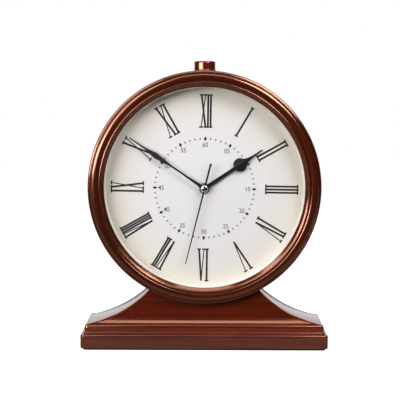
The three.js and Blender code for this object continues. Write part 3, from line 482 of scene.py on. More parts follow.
def cloth_felt():
    finish = Finish("black_felt", Roughness=0.95, Sheen_Weight=0.4, Sheen_Roughness=0.5)
    fibre = finish.speckle(2400, 5, 0.75)
    finish.colour(fibre, [(0.3, 0.006), (0.7, 0.025)])
    finish.bump(fibre, 0.25, 0.8)
    return finish.material


def painted_dial():
    finish = Finish("dial_paint", IOR=1.45)
    cloud = finish.speckle(12, 3, 0.5)
    offset = finish.vector("SUBTRACT", finish.position, tuple(SHAFT * MM))
    radius = finish.vector("LENGTH", finish.scaled((1, 0, 1), offset))
    decimetres = finish.number("MULTIPLY", radius, 10.0)
    place = finish.number("ADD", decimetres, finish.number("MULTIPLY", cloud, 0.1))
    # Painted shade: the dial's colour turns darker and warmer towards its rim, standing in for the bezel's
    # shadow and the warm light bounced off the wood.
    rim_shade_tones = [(0.6, (0.765, 0.755, 0.755)), (0.85, (0.76, 0.735, 0.70)), (1.0, (0.755, 0.715, 0.625))]
    finish.colour(place, rim_shade_tones)
    grain = finish.speckle(1800, 3, 0.6)
    finish.roughness(grain, 0.5, 0.62)
    finish.bump(grain, 0.006, 0.3)
    return finish.material


def clear_glass():
    """Thin clear glass: what is behind shows straight through, with a reflection that grows at an angle."""
    finish = Finish("clear_glass")
    smear = finish.speckle(60, 3, 0.6)
    polish = finish.spread(smear, 0.0, 0.012)
    wave = finish.node("Bump", {"Height": smear, "Strength": 0.05, "Distance": 0.01 * MM})
    facing = finish.node("LayerWeight", {"Blend": 0.5, "Normal": wave.outputs["Normal"]})
    grazing = finish.number("POWER", facing.outputs["Facing"], 5.0)
    mirrored = {"Value": grazing, "To Min": 0.025, "To Max": 0.9}
    share = finish.node("MapRange", mirrored).outputs["Result"]
    clear = finish.node("BsdfTransparent", {"Color": (0.988, 0.984, 0.987, 1)})
    gloss = finish.node("BsdfGlossy", {"Roughness": polish, "Normal": wave.outputs["Normal"]})
    layers = {0: share, 1: clear.outputs["BSDF"], 2: gloss.outputs["BSDF"]}
    finish.show(finish.node("MixShader", layers))
    finish.tree.nodes.remove(finish.shader)
    return finish.material


def battery_sleeve():
    """A printed sleeve in two bands along the cell."""
    low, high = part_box("battery")
    finish = Finish("battery_sleeve", Metallic=0.6, Coat_Weight=0.6, Coat_Roughness=0.1)
    along = finish.node("SeparateXYZ", {"Vector": finish.position}).outputs["X"]
    place = finish.node("MapRange", {"Value": along, "From Min": low.x, "From Max": high.x})
    grain = finish.speckle(900, 3, 0.6)
    edge = finish.number("ADD", place.outputs["Result"], finish.number("MULTIPLY", grain, 0.004))
    inks = [(0.0, (0.02, 0.07, 0.2)), (0.7, (0.55, 0.42, 0.2))]
    finish.colour(edge, inks, "CONSTANT")
    finish.roughness(grain, 0.26, 0.38)
    finish.bump(grain, 0.01, 0.3)
    return finish.material


def circuit():
    finish = Finish("circuit_board", Roughness=0.35, Coat_Weight=0.4)
    cells = finish.node("TexVoronoi", {"Vector": finish.scaled((900, 900, 450)), "Scale": 1.0},
                        distance="CHEBYCHEV").outputs["Distance"]
    finish.colour(cells, [(0.2, (0.02, 0.09, 0.04)), (0.5, (0.01, 0.05, 0.025))])
    finish.roughness(finish.speckle(500), 0.3, 0.45)
    finish.bump(cells, 0.05, 0.4)
    return finish.material


MATERIAL = {
    "turned": turned_wood("turned_lacquer", (0.024, 0.003, 0.0008), (0.045, 0.006, 0.0015),
                          (0.08, 0.013, 0.003)),
    "saddle": straight_wood("saddle_lacquer", (0.045, 0.004, 0.001), (0.085, 0.007, 0.002),
                            (0.13, 0.014, 0.004)),
    "plinth": straight_wood("plinth_lacquer", (0.035, 0.006, 0.005), (0.065, 0.012, 0.009),
                            (0.11, 0.022, 0.013)),
    "felt": cloth_felt(),
    "dial": painted_dial(),
    "rehaut": plastic("cream_plastic", (0.84, 0.82, 0.77), 0.4, fade=0.97),
    "black": plastic("black_hands", (0.004, 0.0035, 0.0035), 0.5, 1500, 0.01, 0.6),
    "ink": plastic("dial_ink", (0.009, 0.008, 0.008), 0.6, 1500, 0.004, 0.6),
    "grey_ink": plastic("fine_dial_ink", (0.025, 0.024, 0.025), 0.5, 1500, 0.004, 0.6),
    "chrome": metal("chrome", (0.78, 0.78, 0.79), 0.08),
    "brass": metal("brass", (0.55, 0.37, 0.14), 0.24),
    "grey_brass": metal("grey_brass", (0.5, 0.48, 0.43), 0.34),
    "steel": metal("steel", (0.52, 0.53, 0.55), 0.3, (200, 200, 1400)),
    "copper": metal("copper_wire", (0.6, 0.22, 0.08), 0.3, (4200, 300, 300), 0.08),
    "black_plastic": plastic("black_plastic", (0.016, 0.016, 0.017), 0.42, 2600, 0.035, 0.7),
    "fine_black": plastic("fine_black_plastic", (0.02, 0.02, 0.021), 0.3, 4200, 0.015, 0.7),
    "white_plastic": plastic("white_plastic", (0.66, 0.65, 0.6), 0.38, fade=0.94),
    "rubber": plastic("black_rubber", (0.012, 0.012, 0.012), 0.8, 1800, 0.03, 0.6),
    "circuit": circuit(),
    "battery": battery_sleeve(),
    "glass": clear_glass(),
}


# ---- base and saddle
def base_pieces():
    low, high = box_mm("base_pad")
    section = fillet([(0.2, low.z), (0, low.z + 0.2), (0, high.z - 0.2), (0.2, high.z)], closed=False)
    add_piece("felt_pad", moulded_block("base_pad", 4, section), "felt", "base_pad")

    low, high = box_mm("plinth")
    section = fillet([(0.9, low.z), (0, low.z, 0.9), (0, high.z, 1.7), (3, high.z)], closed=False)
    plinth = moulded_block("plinth", 4, section)
    add_piece("plinth_block", plinth, "plinth", "plinth")

    low, high = box_mm("step")
    flare = 1.2  # the step's foot stands out this far from its face
    section = fillet([(0.3, low.z), (0, low.z + 0.5, 0.4), (0, low.z + 1.6, 0.5),
                      (flare, low.z + 2.4, 0.5), (flare, high.z - 2.9, 1.2), (flare + 0.9, high.z, 1.9),
                      (flare + 4, high.z)], closed=False)
    add_piece("step_moulding", moulded_block("step", 4.2, section), "saddle", "step")


FLARE_CENTRE = (142, 142.7)  # axis of each flare's hollow, across and up
FLARE_RADIUS = 118.8
SEAT_HALF = 52.4  # half the width of the saddle's hollow seat
SEAT_GAP = 0.3  # between the drum and its seat
COVE_HEIGHT, COVE_DEPTH, COVE_CURVE = 10.5, 5, 2.2
COVE_FOOT = 0.6  # the foot stands plain this far before the cove starts
TOP_EDGE = 1.1  # radius of the rounded upper edges
LEAN_TOP, LEAN_INWARD = 66, 5.5  # the saddle's faces lean in by this much up to this height


def saddle_top(x):
    """Height of the saddle's upper surface at a distance from its middle."""
    seat = round_mm("drum")[2] + SEAT_GAP
    if abs(x) <= SEAT_HALF:
        return CENTRE.z - math.sqrt(seat * seat - x * x)
    across = FLARE_CENTRE[0] - abs(x)
    return FLARE_CENTRE[1] - math.sqrt(FLARE_RADIUS ** 2 - across ** 2)


def saddle_shape():
    """Columns from end to end, each a closed section from the foot up the front and down the back."""
    low, high = box_mm("saddle")
    face = low.y + COVE_DEPTH
    rise = [0, 0.35, 0.6, 0.75, 1.1, 1.7, 2.5, 3.4, 4.4, 5.5, 6.7, 8, 9.3, 10.5, 12, 15, 19, 24, 30, 40]

    def front_at(z):
        """The cove sweeps out from the leaning face to the foot."""
        up = z - low.z - COVE_FOOT
        if up <= 0:
            return low.y
        share = 1 - min(up / (COVE_HEIGHT - COVE_FOOT), 1)
        return face + (low.y - face) * share ** COVE_CURVE + lean_at(z)

    def lean_at(z):
        cove_top = low.z + COVE_HEIGHT
        return LEAN_INWARD * max(0, z - cove_top) / (LEAN_TOP - cove_top)

    columns = []
    half = high.x
    places = [half - 0.8 * k for k in range(20)]
    places += [half - 16 - 2.0 * k for k in range(1, 26)]
    places += [SEAT_HALF - 0.02, SEAT_HALF - 1.2]
    places += [SEAT_HALF * (1 - k / 26) for k in range(2, 26)]
    places = sorted({round(p, 3) for p in places if p > 0.5})
    for x in [-p for p in reversed(places)] + [0] + places:
        top = saddle_top(x)
        room = top - low.z
        edge = min(TOP_EDGE, 0.42 * room)
        section = [(front_at(min(low.z + r, top - edge)), min(low.z + r, top - edge)) for r in rise]
        front = front_at(top - edge)
        section += arc((front + edge, top - edge), (-edge, edge), 15, 90, 5)
        back = high.y - lean_at(top)
        section += arc((back - edge, top - edge), (edge, edge), 90, 0, 5)
        section += [(high.y, min(low.z + COVE_HEIGHT, low.z + 0.5 * room)), (high.y, low.z)]
        columns.append([Vector((x, y, z)) for y, z in section])
    return stack(columns)


def saddle_piece():
    add_piece("saddle_block", saddle_shape(), "saddle", "saddle", smooth_angle=30)


# ---- drum, bezel, glass and dial
FINE = 256  # sides of the largest turned pieces
DRUM_BORE, DIAL_BORE, DIAL_LEDGE = 96, 104.2, -17.4
COVER_REBATE = 3.7  # how deep the rear cover is let in
BEZEL_OPENING, BEZEL_SEAT = 101.5, 103.9  # radii of the opening and of the seat for the glass
CREST, CREST_INNER, CREST_OUTER = 111, 3.3, 4.4  # the broad moulding's radius and its width each way


def drum_pieces():
    low, high, outer = round_mm("drum")
    front, back = low.y, high.y
    rebate = round_mm("rear_cover")[2] + 0.4
    profile = fillet([(DIAL_BORE, front), (outer, front, 0.3), (outer, back, 1.3), (rebate, back, 0.6),
                      (rebate, back - COVER_REBATE), (DRUM_BORE, back - COVER_REBATE),
                      (DRUM_BORE, DIAL_LEDGE), (DIAL_BORE, DIAL_LEDGE)])
    collar_low, collar_high, flange = round_mm("button_collar")
    seat = cylinder(flange + 0.3, collar_high.z - 2.3, collar_high.z + 5, UPRIGHT_AXIS, "Z")
    neck = cylinder(6.3, collar_low.z - 4, collar_high.z - 1.3, UPRIGHT_AXIS, "Z")
    add_piece("drum_shell", lathe(profile, CENTRE, closed=True, segments=FINE), "turned",
              "drum", cuts=[seat, neck])

    low, high, rim = round_mm("bezel")
    crest = low.y
    profile = [(BEZEL_OPENING, crest + 5.25), (BEZEL_OPENING, crest + 4.6)]
    profile += fillet([(BEZEL_OPENING, crest + 4.6), (101.9, crest + 4.0, 0.5), (104.3, crest + 1.9, 0.6),
                       (104.9, crest + 1.6)], closed=False)[1:]
    profile += arc((106, crest + 1.3), (1.2, 0.9), 180, 360, 10)
    profile += fillet([(107.2, crest + 1.4), (107.4, crest + 1.7, 0.15), (107.6, crest + 1.4, 0.1),
                       (107.7, crest + 1.0)], closed=False)
    profile += arc((CREST, crest + 0.9), (CREST_INNER, 0.9), 184, 270, 10)
    profile += arc((CREST, crest + 3), (CREST_OUTER, 3), 274, 356, 16)
    profile += fillet([(115.4, crest + 3.0), (115.7, crest + 3.4, 0.2), (116.3, crest + 3.1, 0.4),
                       (rim - 0.5, crest + 3.8, 1.2), (rim, crest + 5.6, 1.5), (rim, crest + 7.3, 0.8),
                       (rim - 1, crest + 8.6)], closed=False)
    profile += [(BEZEL_SEAT, crest + 8.6), (BEZEL_SEAT, crest + 5.25)]
    add_piece("bezel_moulding", lathe(profile, CENTRE, closed=True, segments=FINE), "turned",
              "bezel")

    low, high, edge = round_mm("glass")
    arris = 0.3
    profile = [(0, low.y), (edge - arris, low.y), (edge, low.y + arris), (edge, high.y - arris),
               (edge - arris, high.y), (0, high.y)]
    add_piece("glass_disc", lathe(profile, CENTRE, segments=FINE), "glass", "glass")

    low, high, outer = round_mm("rehaut")
    profile = fillet([(100.4, high.y), (100.4, high.y - 0.5, 0.3), (101.5, low.y + 0.4, 0.4),
                      (102, low.y, 0.3), (outer, low.y), (outer, high.y)])
    add_piece("rehaut_ring", lathe(profile, CENTRE, closed=True, segments=FINE), "rehaut",
              "rehaut")

    low, high, outer = round_mm("dial")
    shaft_hole = cylinder(BUSH_ROOM, low.y - 1, high.y + 1, SHAFT)
    add_piece("dial_plate", cylinder(outer, low.y, high.y, CENTRE, segments=FINE), "dial",
              "dial", cuts=[shaft_hole])


# ---- dial print: strokes are thin raised ink on the dial's front
NUMERAL_INNER, NUMERAL_OUTER = 61.7, 95.7
BAR, THICK, THIN = 1.5, 1.95, 1.05
SERIF = 1.95  # how far a bar runs on past a stroke's middle
INK = {"thin": 0.03, "thick": 0.04, "bar": 0.05}

# Hour: strokes as (kind, place at the top, place at the foot), across the numeral's middle line.
NUMERALS = {
    1: [("thick", 0, 0)],
    2: [("thick", -1.95, -1.95), ("thick", 1.95, 1.95)],
    3: [("thick", -3.15, -3.15), ("thick", 0, 0), ("thick", 3.15, 3.15)],
    4: [("thick", -2.1, -2.1), ("thick", 0.9, 3.1), ("thin", 6.5, 3.1)],
    5: [("thick", -2.1, 0.6), ("thin", 4.3, 0.6)],
    6: [("thick", -4.5, -2.0), ("thin", 0.6, -2.0), ("thick", 3.6, 3.6)],
    7: [("thick", -3.25, -1.4), ("thin", 0.9, -1.4), ("thick", 3.05, 3.05), ("thick", 5.4, 5.4)],
    8: [("thick", -4.7, -2.95), ("thin", -0.9, -2.95), ("thick", 0.6, 0.6), ("thick", 2.95, 2.95),
        ("thick", 5.3, 5.3)],
    9: [("thick", -3.8, -3.8), ("thick", -0.05, 4.3), ("thin", 4.6, -0.8)],
    10: [("thick", -2.5, 2.9), ("thin", 3.2, -3.0)],
    11: [("thick", -3.5, 1.0), ("thin", 2.1, -4.8), ("thick", 4.7, 4.7)],
    12: [("thick", -4.4, -0.2), ("thin", -0.3, -4.6), ("thick", 2.3, 2.3), ("thick", 5.0, 5.0)],
}
UPRIGHT_HOUR = 6  # the one numeral whose top faces the dial's middle
JOINED_FEET = (4, 6, 7, 8)  # hours whose V ends in a point without a bar
HOUR_STEP, MINUTE_STEP = 30, 6  # degrees
TRACK_RADIUS = 50.6
DIAMOND, LOZENGE = (2.45, 1.55), (1.3, 0.78)  # half height and half width
FIGURE_RADIUS, FIGURE_HEIGHT, FIGURE_INK = 44.4, 4.8, 0.05
FIGURE_WIDTH = 0.95  # of the font's own width
FIGURE_SHARE = 0.73  # of the font's size that a figure stands high
BEHIND_FACE = 0.01  # how far the ink reaches into the dial


def on_dial(across, out, angle, front):
    """A point on the dial: out from the hands' axis at a clockwise angle in degrees, and across it."""
    a = math.radians(angle + DIAL_TURN)
    x = out * math.sin(a) + across * math.cos(a)
    z = out * math.cos(a) - across * math.sin(a)
    return Vector((SHAFT.x + x, front, SHAFT.z + z))


def ink_patch(corners, angle, thickness):
    """A closed prism of ink standing on the dial; corners are (across, out) points."""
    face = box_mm("dial")[0].y
    levels = (face + BEHIND_FACE, face - thickness)
    return stack([[on_dial(across, out, angle, y) for across, out in corners] for y in levels])


def numeral(hour):
    shapes = []
    bar_half = BAR / 2
    top, foot = NUMERAL_OUTER - bar_half, NUMERAL_INNER + bar_half
    for kind, at_top, at_foot in NUMERALS[hour]:
        half = (THICK if kind == "thick" else THIN) / 2
        corners = [(at_top - half, top), (at_top + half, top),
                   (at_foot + half, foot), (at_foot - half, foot)]
        shapes.append((corners, INK[kind]))
    for line, index in ((top, 1), (foot, 2)):
        places = sorted(stroke[index] for stroke in NUMERALS[hour])
        single_apex = index == 2 and hour == 5
        if single_apex:
            continue
        runs = []
        for place in places:
            pointed = index == 2 and hour in JOINED_FEET and places.count(place) > 1
            if pointed:
                continue
            low, high = place - SERIF, place + SERIF
            if runs and low <= runs[-1][1] + 0.3:
                runs[-1][1] = max(runs[-1][1], high)
            else:
                runs.append([low, high])
        for low, high in runs:
            bar = [(low, line - bar_half), (high, line - bar_half),
                   (high, line + bar_half), (low, line + bar_half)]
            shapes.append((bar, INK["bar"]))
    if hour == UPRIGHT_HOUR:
        total = NUMERAL_INNER + NUMERAL_OUTER
        shapes = [([(-across, total - out) for across, out in corners], ink) for corners, ink in shapes]
    return [ink_patch(corners, hour * HOUR_STEP, ink) for corners, ink in shapes]


def track_marks():
    """A diamond at each five minutes and a small lozenge at each minute between."""
    marks = []
    for minute in range(60):
        tall, wide = DIAMOND if minute % 5 == 0 else LOZENGE
        corners = [(0, TRACK_RADIUS - tall), (wide, TRACK_RADIUS), (0, TRACK_RADIUS + tall),
                   (-wide, TRACK_RADIUS)]
        marks.append(ink_patch(corners, minute * MINUTE_STEP, INK["thick"]))
    return marks


def figure_shape(text, centre, face):
    """Upright figures as thin closed bodies, centred on a point of the dial."""
    curve = bpy.data.curves.new("figure", "FONT")
    curve.body = text
    curve.size = FIGURE_HEIGHT / FIGURE_SHARE
    curve.space_character = 0.95
    curve.offset = 0.004 * FIGURE_HEIGHT
    curve.resolution_u = 3
    curve.extrude = FIGURE_INK / 2
    thing = linked("figure", curve)
    bpy.context.view_layer.update()
    mesh = thing.evaluated_get(bpy.context.evaluated_depsgraph_get()).to_mesh()
    points = [vertex.co.copy() for vertex in mesh.vertices]
    faces = [list(polygon.vertices) for polygon in mesh.polygons]
    bpy.data.objects.remove(thing)
    low = Vector(map(min, *points))
    high = Vector(map(max, *points))
    shift = (low + high) / 2
    turned = []
    for point in points:
        local = point - shift
        turned.append(Vector((centre.x + FIGURE_WIDTH * local.x, face - local.z, centre.z + local.y)))
    return turned, faces


def dial_print():
    strokes = [shape for hour in NUMERALS for shape in numeral(hour)]
    add_piece("dial_print_roman", together(strokes), "ink")
    add_piece("dial_print_track", together(track_marks()), "ink")
    face = box_mm("dial")[0].y
    figures = []
    for minute in range(5, 65, 5):
        centre = on_dial(0, FIGURE_RADIUS, minute * MINUTE_STEP, face)
        figures.append(figure_shape(f"{minute:02d}", centre, face - BEHIND_FACE))
    add_piece("dial_print_minutes", together(figures), "grey_ink")


# ---- hands
def hand_outline(right):
    """Both sides of a hand, pointing up, from its right-hand (half width, distance) points."""
    return list(right) + [(-half, out) for half, out in reversed(right)]


def hand_piece(name, node, body, right, hub, bore, angle):
    low, high = box_mm(node)
    a = math.radians(angle + DIAL_TURN)
    outline = []
    for across, out in hand_outline(right):
        outline.append((SHAFT.x + out * math.sin(a) + across * math.cos(a),
                        SHAFT.z + out * math.cos(a) - across * math.sin(a)))
    soft = 0.12  # radius of a hand's edges
    blade = slab(outline, low.y, high.y, edge=soft, edge_steps=2)
    disc = fillet([(0, low.y), (hub, low.y, soft), (hub, high.y, soft), (0, high.y)], closed=False, steps=2)
    boss = lathe(disc, SHAFT, segments=64)
    hole = cylinder(bore, low.y - 1, high.y + 1, SHAFT)
    add_piece(name, blade, "black", node, body, cuts=[hole], joins=[boss])


def hands():
    reading = {"hour": 1, "minute": 50, "second": 32.2}
    minute_angle = (reading["minute"] + reading["second"] / 60) * MINUTE_STEP
    hour_angle = reading["hour"] * HOUR_STEP + minute_angle / 12
    second_angle = reading["second"] * MINUTE_STEP

    body_centre, body_radius = 43.5, 7.0
    right = [(2.1, 0), (1.75, body_centre - 6.9)]
    right += [(body_radius * math.cos(t), body_centre + body_radius * math.sin(t))
              for t in (math.radians(-76 + 6.6 * k) for k in range(18))]
    right += [(4.25, 48.75), (3.5, 49.6), (2.85, 50.8), (2.3, 52.2), (1.85, 53.8), (1.5, 55.5),
              (1.2, 57.4), (1.0, 60), (0.85, 64), (0.7, 70.4), (0.45, 70.8)]
    hand_piece("hour_hand_blade", "hour_hand", "hours", right, 4.2, 2.4, hour_angle)

    right = [(2.2, 0), (1.65, 8), (1.0, 22), (0.9, 34), (0.95, 41), (1.35, 46), (2.85, 58.6), (2.98, 60),
             (2.8, 61.5), (1.8, 67), (1.1, 72), (0.85, 76), (0.55, 91.6), (0.3, 92.4)]
    hand_piece("minute_hand_blade", "minute_hand", "minutes", right, 3.4, 1.4, minute_angle)

    right = [(0.55, -26.5), (0.95, -26.1), (1.2, -25.2), (1.15, -24.2), (0.95, -22.6), (0.95, -18),
             (0.95, 0), (0.8, 20), (0.5, 79), (0.25, 79.4)]
    hand_piece("second_hand_blade", "second_hand", "seconds", right, 3.0, 0.6, second_angle)

    low, high, radius = round_mm("hand_cap")
    brim = high.y - 0.25
    dome = [(0, low.y)] + arc((0, brim), (radius, brim - low.y), -86, 0, 12)
    dome += [(radius - 0.1, high.y), (0, high.y)]
    dome = [(abs(r), y) for r, y in dome]
    add_piece("polished_cap", lathe(dome, SHAFT, segments=72), "chrome", "hand_cap", "seconds")

    low, high = box_mm("hand_nut")
    profile = fillet([(BUSH_ROOM, low.y, 0.2), (5.1, low.y, 0.35), (5.3, high.y, 0.2),
                      (BUSH_ROOM, high.y, 0.1)])
    add_piece("bush_nut", lathe(profile, SHAFT, closed=True, segments=72), "grey_brass", "hand_nut")

    low, high, outer = round_mm("nut_washer")
    profile = fillet([(BUSH_ROOM, low.y, 0.1), (outer, low.y, 0.15), (outer, high.y), (BUSH_ROOM, high.y)])
    add_piece("bush_washer", lathe(profile, SHAFT, closed=True, segments=72), "grey_brass",
              "nut_washer")


# ---- top button
STEM_RADIUS, CAP_BORE, CAP_ROOF = 2.5, 9.2, 2.4
SKIRT = 9.9  # how far the cap's skirt reaches down from its top


def button_pieces():
    low, high, widest = round_mm("top_button")
    side = widest - 0.4
    skirt = high.z - SKIRT
    roof = high.z - CAP_ROOF
    profile = fillet([(0, low.z), (STEM_RADIUS, low.z, 0.4), (STEM_RADIUS, roof), (CAP_BORE, roof, 0.6),
                      (CAP_BORE, skirt, 0.2), (side + 0.3, skirt, 0.3), (side + 0.4, skirt + 0.9, 0.5),
                      (side, skirt + 1.5, 0.3), (side, high.z, 1.7), (0, high.z)], closed=False, steps=6)
    add_piece("button_cap", lathe(profile, UPRIGHT_AXIS, "Z", 128), "saddle", "top_button",
              "button")

    low, high, flange = round_mm("button_collar")
    profile = fillet([(2.8, low.z, 0.3), (6, low.z, 0.4), (6, high.z - 2.2), (flange, high.z - 2.2),
                      (flange, high.z - 0.5, 0.4), (flange - 0.9, high.z, 0.4), (2.8, high.z, 0.3)])
    add_piece("collar_ring", lathe(profile, UPRIGHT_AXIS, "Z", 96, closed=True), "brass",
              "button_collar")

    low, high, coil = round_mm("button_spring")
    wire = 0.45
    radius = coil - wire
    turns, steps = 4.5, 220
    path = []
    for k in range(steps + 1):
        t = k / steps
        angle = TURN * turns * t
        z = low.z + wire + (high.z - low.z - 2 * wire) * t
        path.append(Vector((radius * math.cos(angle), radius * math.sin(angle), z)))
    spring = add_piece("spring_wire", tube_along(path, wire), "steel", "button_spring")
    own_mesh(spring)


# ---- rear cover, door and set knob
HINGE_REACH, BARREL, PIN_ROOM = 24, 2.3, 1.1  # half length, and the radii of knuckle and pin hole
WINDOW_HALF, WINDOW_CORNER = 45, 4
COVER_SCREWS = range(1, 5)


def loop_at(x, z, *shape):
    return [(x + u, z + v) for u, v in rounded_loop(*shape)]


def window_outline(half, corner):
    return loop_at(CENTRE.x, CENTRE.z, half, half, corner)


def knuckle(bottom, top, x, y):
    ends = fillet([(0, bottom), (BARREL, bottom, 0.3), (BARREL, top, 0.3), (0, top)], closed=False, steps=2)
    return lathe(ends, (x, y, 0), "Z", 40)


def hinge_axis():
    low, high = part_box("hinge_pin")
    return (low.x + high.x) / 2 / MM, (low.y + high.y) / 2 / MM


def rear_pieces():
    low, high, edge = round_mm("rear_cover")
    front, back = low.y, box_mm("access_door")[0].y - 0.3
    groove_floor = back - 0.5
    profile = fillet([(0, front), (edge, front, 0.3), (edge, back, 0.7), (95.5, back, 0.3),
                      (95, groove_floor, 0.3), (92, groove_floor, 0.3), (91.5, back, 0.3), (0, back)],
                     closed=False, steps=3)
    disc = lathe(profile, CENTRE)
    x, y = hinge_axis()
    reach = HINGE_REACH
    joins = []
    for bottom, top in ((-reach, -reach / 3), (reach / 3, reach)):
        bottom, top = CENTRE.z + bottom + 0.15, CENTRE.z + top - 0.15
        web = block(x - BARREL, x + BARREL, bottom, top, back - 0.5, y)
        joins += [web, knuckle(bottom, top, x, y)]
    cover = add_piece("cover_panel", disc, "black_plastic", "rear_cover", joins=joins)
    carve(cover, slab(window_outline(WINDOW_HALF, WINDOW_CORNER), front - 1, back + 1))
    room = 0.3  # round the magnet
    magnet_low, magnet_high = box_mm("door_magnet")
    ledge = block(40, 49, magnet_low.z - 3, magnet_high.z + 3, front, back - 0.01)
    carve(cover, ledge, "UNION")
    cuts = [cylinder(PIN_ROOM, CENTRE.z - reach - 1, CENTRE.z + reach + 1, (x, y, 0), "Z"),
            block(magnet_low.x - room, magnet_high.x + room, magnet_low.z - room, magnet_high.z + room,
                  magnet_low.y - room, back + 1)]
    for row in range(5):
        for side in (-1, 1):
            vent = loop_at(side * 12, CENTRE.z - 62 - 5 * row, 8, 1, 0.99, 4)
            cuts.append(slab(vent, front - 1, back + 1))
    for number in COVER_SCREWS:
        centre = middle(f"cover_screw_{number}")
        cuts.append(cylinder(1.7, front - 1, back + 1, (centre.x, 0, centre.z), segments=24))
    for cut in cuts:
        carve(cover, cut)
    shaded(cover, MATERIAL["black_plastic"])

    low, high = box_mm("access_door")
    panel_half = high.x
    panel_front, panel_back = low.y, high.y - BARREL + 0.2
    panel = slab(window_outline(panel_half, WINDOW_CORNER), panel_front, panel_back, edge=0.5)
    bottom, top = CENTRE.z - reach / 3 + 0.3, CENTRE.z + reach / 3 - 0.3
    arm = block(x, -panel_half + 1, bottom, top, y - 1, panel_back - 0.05)
    pull = middle("door_pull")
    groove = slab(window_outline(44.5, 3), panel_back - 0.45, panel_back + 1)
    island = slab(window_outline(43.3, 2.4), panel_back - 1, panel_back, edge=0.15)
    door = add_piece("door_panel", panel, "fine_black", "access_door", "door",
                     cuts=[groove])
    for shape in (island, arm, knuckle(bottom, top, x, y)):
        carve(door, shape, "UNION")
    carve(door, cylinder(PIN_ROOM, bottom - 1, top + 1, (x, y, 0), "Z"))
    carve(door, cylinder(1.3, panel_front - 1, panel_back + 1, (pull.x, 0, pull.z), segments=24))
    shaded(door, MATERIAL["fine_black"])

    low, high = box_mm("door_pull")
    base = high.y - 7.95
    profile = fillet([(0, low.y), (1, low.y), (1, base), (3.6, base, 0.3), (2.7, base + 1, 0.5),
                      (2, base + 2.6, 1.5), (4.6, base + 4.8, 0.8), (4.6, base + 6.2, 0.8),
                      (3.1, high.y - 0.3, 0.8), (0, high.y)], closed=False, steps=6)
    add_piece("pull_knob", lathe(profile, (pull.x, 0, pull.z), segments=72), "brass", "door_pull",
              "door")

    for number in COVER_SCREWS:
        node = f"cover_screw_{number}"
        low, high = box_mm(node)
        centre = middle(node)
        base = high.y - 1.8
        profile = fillet([(0, low.y), (0.5, low.y), (1.4, low.y + 1.5), (1.4, base), (2.7, base, 0.15),
                          (2.65, base + 0.8, 0.5), (1.6, high.y, 0.8), (0, high.y)], closed=False, steps=4)
        cross = []
        for half_u, half_v in ((1.5, 0.28), (0.28, 1.5)):
            slot = loop_at(centre.x, centre.z, half_u, half_v, 0.1, 2)
            cross.append(slab(slot, high.y - 1.1, high.y + 1))
        add_piece(f"cover_screw_head_{number}", lathe(profile, (centre.x, 0, centre.z), segments=48),
                  "steel", node, cuts=cross)

    low, high, radius = round_mm("set_knob")
    centre = middle("set_knob")
    ribs, rib_height = 36, 0.018
    profile = fillet([(0, low.y), (radius * 0.97, low.y, 0.3), (radius * 0.97, high.y, 0.7),
                      (radius * 0.7, high.y, 0.3), (radius * 0.66, high.y - 0.6, 0.3), (0, high.y - 0.6)],
                     closed=False, steps=4)
    knob = lathe(profile, (centre.x, 0, centre.z), segments=4 * ribs,
                 ripple=lambda angle: 1 + rib_height * math.cos(ribs * angle))
    add_piece("set_knob_cap", knob, "fine_black", "set_knob", "setting")

    low, high = box_mm("battery")
    centre = middle("battery")
    radius = (high.z - low.z) / 2
    profile = fillet([(0, low.x), (radius - 0.9, low.x, 0.3), (radius - 0.4, low.x + 0.2, 0.2),
                      (radius, low.x + 0.9, 0.4), (radius, high.x - 1.9, 0.5),
                      (radius - 0.9, high.x - 1, 0.3), (2.9, high.x - 1, 0.2), (2.7, high.x, 0.4),
                      (0, high.x)], closed=False, steps=4)
    add_piece("battery_cell", lathe(profile, (0, centre.y, centre.z), "X", 96), "battery",
              "battery")


# ---- CAD pieces that keep their own shape
KEPT_FINISH = {  # slots whose finish has another name
    "lacquered_wood": "saddle", "dark_lacquered_wood": "plinth", "gasket_rubber": "rubber",
    "cream_plastic": "rehaut", "dial_paint": "dial", "black_hands": "black", "copper_wire": "copper",
    "circuit_green": "circuit", "battery_label": "battery",
}


def finish_kept_nodes():
    """Soft edges and a procedural finish on every CAD node that is still shown."""
    widest, share_of_node, sharp_from = 0.18, 0.12, 40
    slots = {part["node"]: part["material_slot"] for part in frame["record"]["subparts"]}
    for name, node in frame["nodes"].items():
        if node.hide_render:
            continue
        material = MATERIAL[KEPT_FINISH.get(slots[name], slots[name])]
        node.data.materials.clear()
        node.data.materials.append(material)
        low, high = box_mm(name)
        smallest = min(high - low)
        bevel = node.modifiers.new("soft_edge", "BEVEL")
        bevel.width = min(widest, share_of_node * smallest) * MM
        bevel.segments = 2
        bevel.limit_method = "ANGLE"
        bevel.angle_limit = math.radians(sharp_from)
        bevel.harden_normals = False


# ---- stage, light and camera
LIT_POINT = (0, 0, 0.16)  # metres: where every lamp points


def soft_box(name, place, size, watts):
    data = bpy.data.lights.new(name, "AREA")
    data.shape = "RECTANGLE"
    data.size, data.size_y = size
    data.energy = watts
    light = linked(name, data)
    light.location = place
    light.rotation_euler = (Vector(LIT_POINT) - Vector(place)).to_track_quat("-Z", "Y").to_euler()


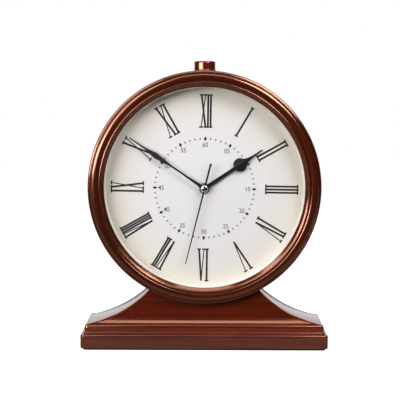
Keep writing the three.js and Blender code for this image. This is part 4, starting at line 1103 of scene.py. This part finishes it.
def stage():
    data = bpy.data.meshes.new("floor")
    reach, front = 3.0, -0.3  # metres: the table ends just in front, so the clock mirrors a dark room
    data.from_pydata([(-reach, front, 0), (reach, front, 0), (reach, reach, 0), (-reach, reach, 0)], [],
                     [(0, 1, 2, 3)])
    floor = linked("floor", data)
    finish = Finish("pale_floor", Roughness=0.9, Emission_Strength=0.92)
    cloud = finish.speckle(3, 3, 0.5)
    finish.colour(cloud, [(0.3, 0.88), (0.7, 0.9)])
    finish.shader.inputs["Emission Color"].default_value = (1, 1, 1, 1)
    finish.roughness(cloud, 0.85, 0.95)
    # The camera sees the pale floor; what the clock mirrors of it is kept down, as a dark card would.
    seen = finish.node("LightPath").outputs["Is Camera Ray"]
    card = finish.node("Emission", {"Color": (0.25, 0.24, 0.235, 1), "Strength": 1.0})
    layers = {0: seen, 1: card.outputs["Emission"], 2: finish.shader.outputs["BSDF"]}
    finish.show(finish.node("MixShader", layers))
    data.materials.append(finish.material)


def world():
    """A bright backdrop behind the clock with a darker room, and plain white where the camera looks."""
    studio = bpy.data.worlds.new("studio")
    bpy.context.scene.world = studio
    studio.use_nodes = True
    tree = studio.node_tree

    def node(kind, **settings):
        made = tree.nodes.new("ShaderNode" + kind)
        for key, value in settings.items():
            setattr(made, key, value)
        return made

    split, shift = node("SeparateXYZ"), node("Math", operation="MULTIPLY_ADD")
    tree.links.new(node("TexCoord").outputs["Generated"], split.inputs["Vector"])
    tree.links.new(split.outputs["Y"], shift.inputs[0])
    shift.inputs[1].default_value = shift.inputs[2].default_value = 0.5
    ramp = node("ValToRGB")
    stops = [(0.8, (0.03, 0.03, 0.03, 1)), (0.96, (0.9, 0.92, 0.96, 1))]
    for element, (place, colour) in zip(ramp.color_ramp.elements, stops):
        element.position, element.color = place, colour
    tree.links.new(shift.outputs["Value"], ramp.inputs["Fac"])
    mix = node("Mix", data_type="RGBA")
    tree.links.new(node("LightPath").outputs["Is Camera Ray"], mix.inputs[0])
    tree.links.new(ramp.outputs["Color"], mix.inputs[6])
    mix.inputs[7].default_value = (1, 1, 1, 1)
    tree.links.new(mix.outputs[2], tree.nodes["Background"].inputs["Color"])


def camera():
    data = bpy.data.cameras.new("camera")
    data.lens = 110.7
    data.sensor_width = 36
    thing = linked("camera", data)
    thing.location = (0, -1.269, 0.2631)
    yaw, pitch, roll = (Matrix.Rotation(math.radians(angle), 3, axis)
                        for angle, axis in ((0.21, "Z"), (84.92, "X"), (0.15, "Z")))
    thing.rotation_euler = (yaw @ pitch @ roll).to_euler()
    bpy.context.scene.camera = thing


base_pieces()
saddle_piece()
drum_pieces()
dial_print()
hands()
button_pieces()
rear_pieces()
finish_kept_nodes()
stage()
world()
soft_box("left_box", (-0.75, -0.8, 0.8), (0.9, 0.9), 10)
soft_box("right_box", (0.55, -0.7, 0.9), (0.5, 0.5), 9)
soft_box("top_box", (0, -0.5, 1.25), (0.7, 0.4), 2.2)
soft_box("low_left_box", (-0.8, -0.85, 0.32), (0.8, 0.26), 7)
camera()
bpy.context.scene.view_settings.view_transform = "Standard"
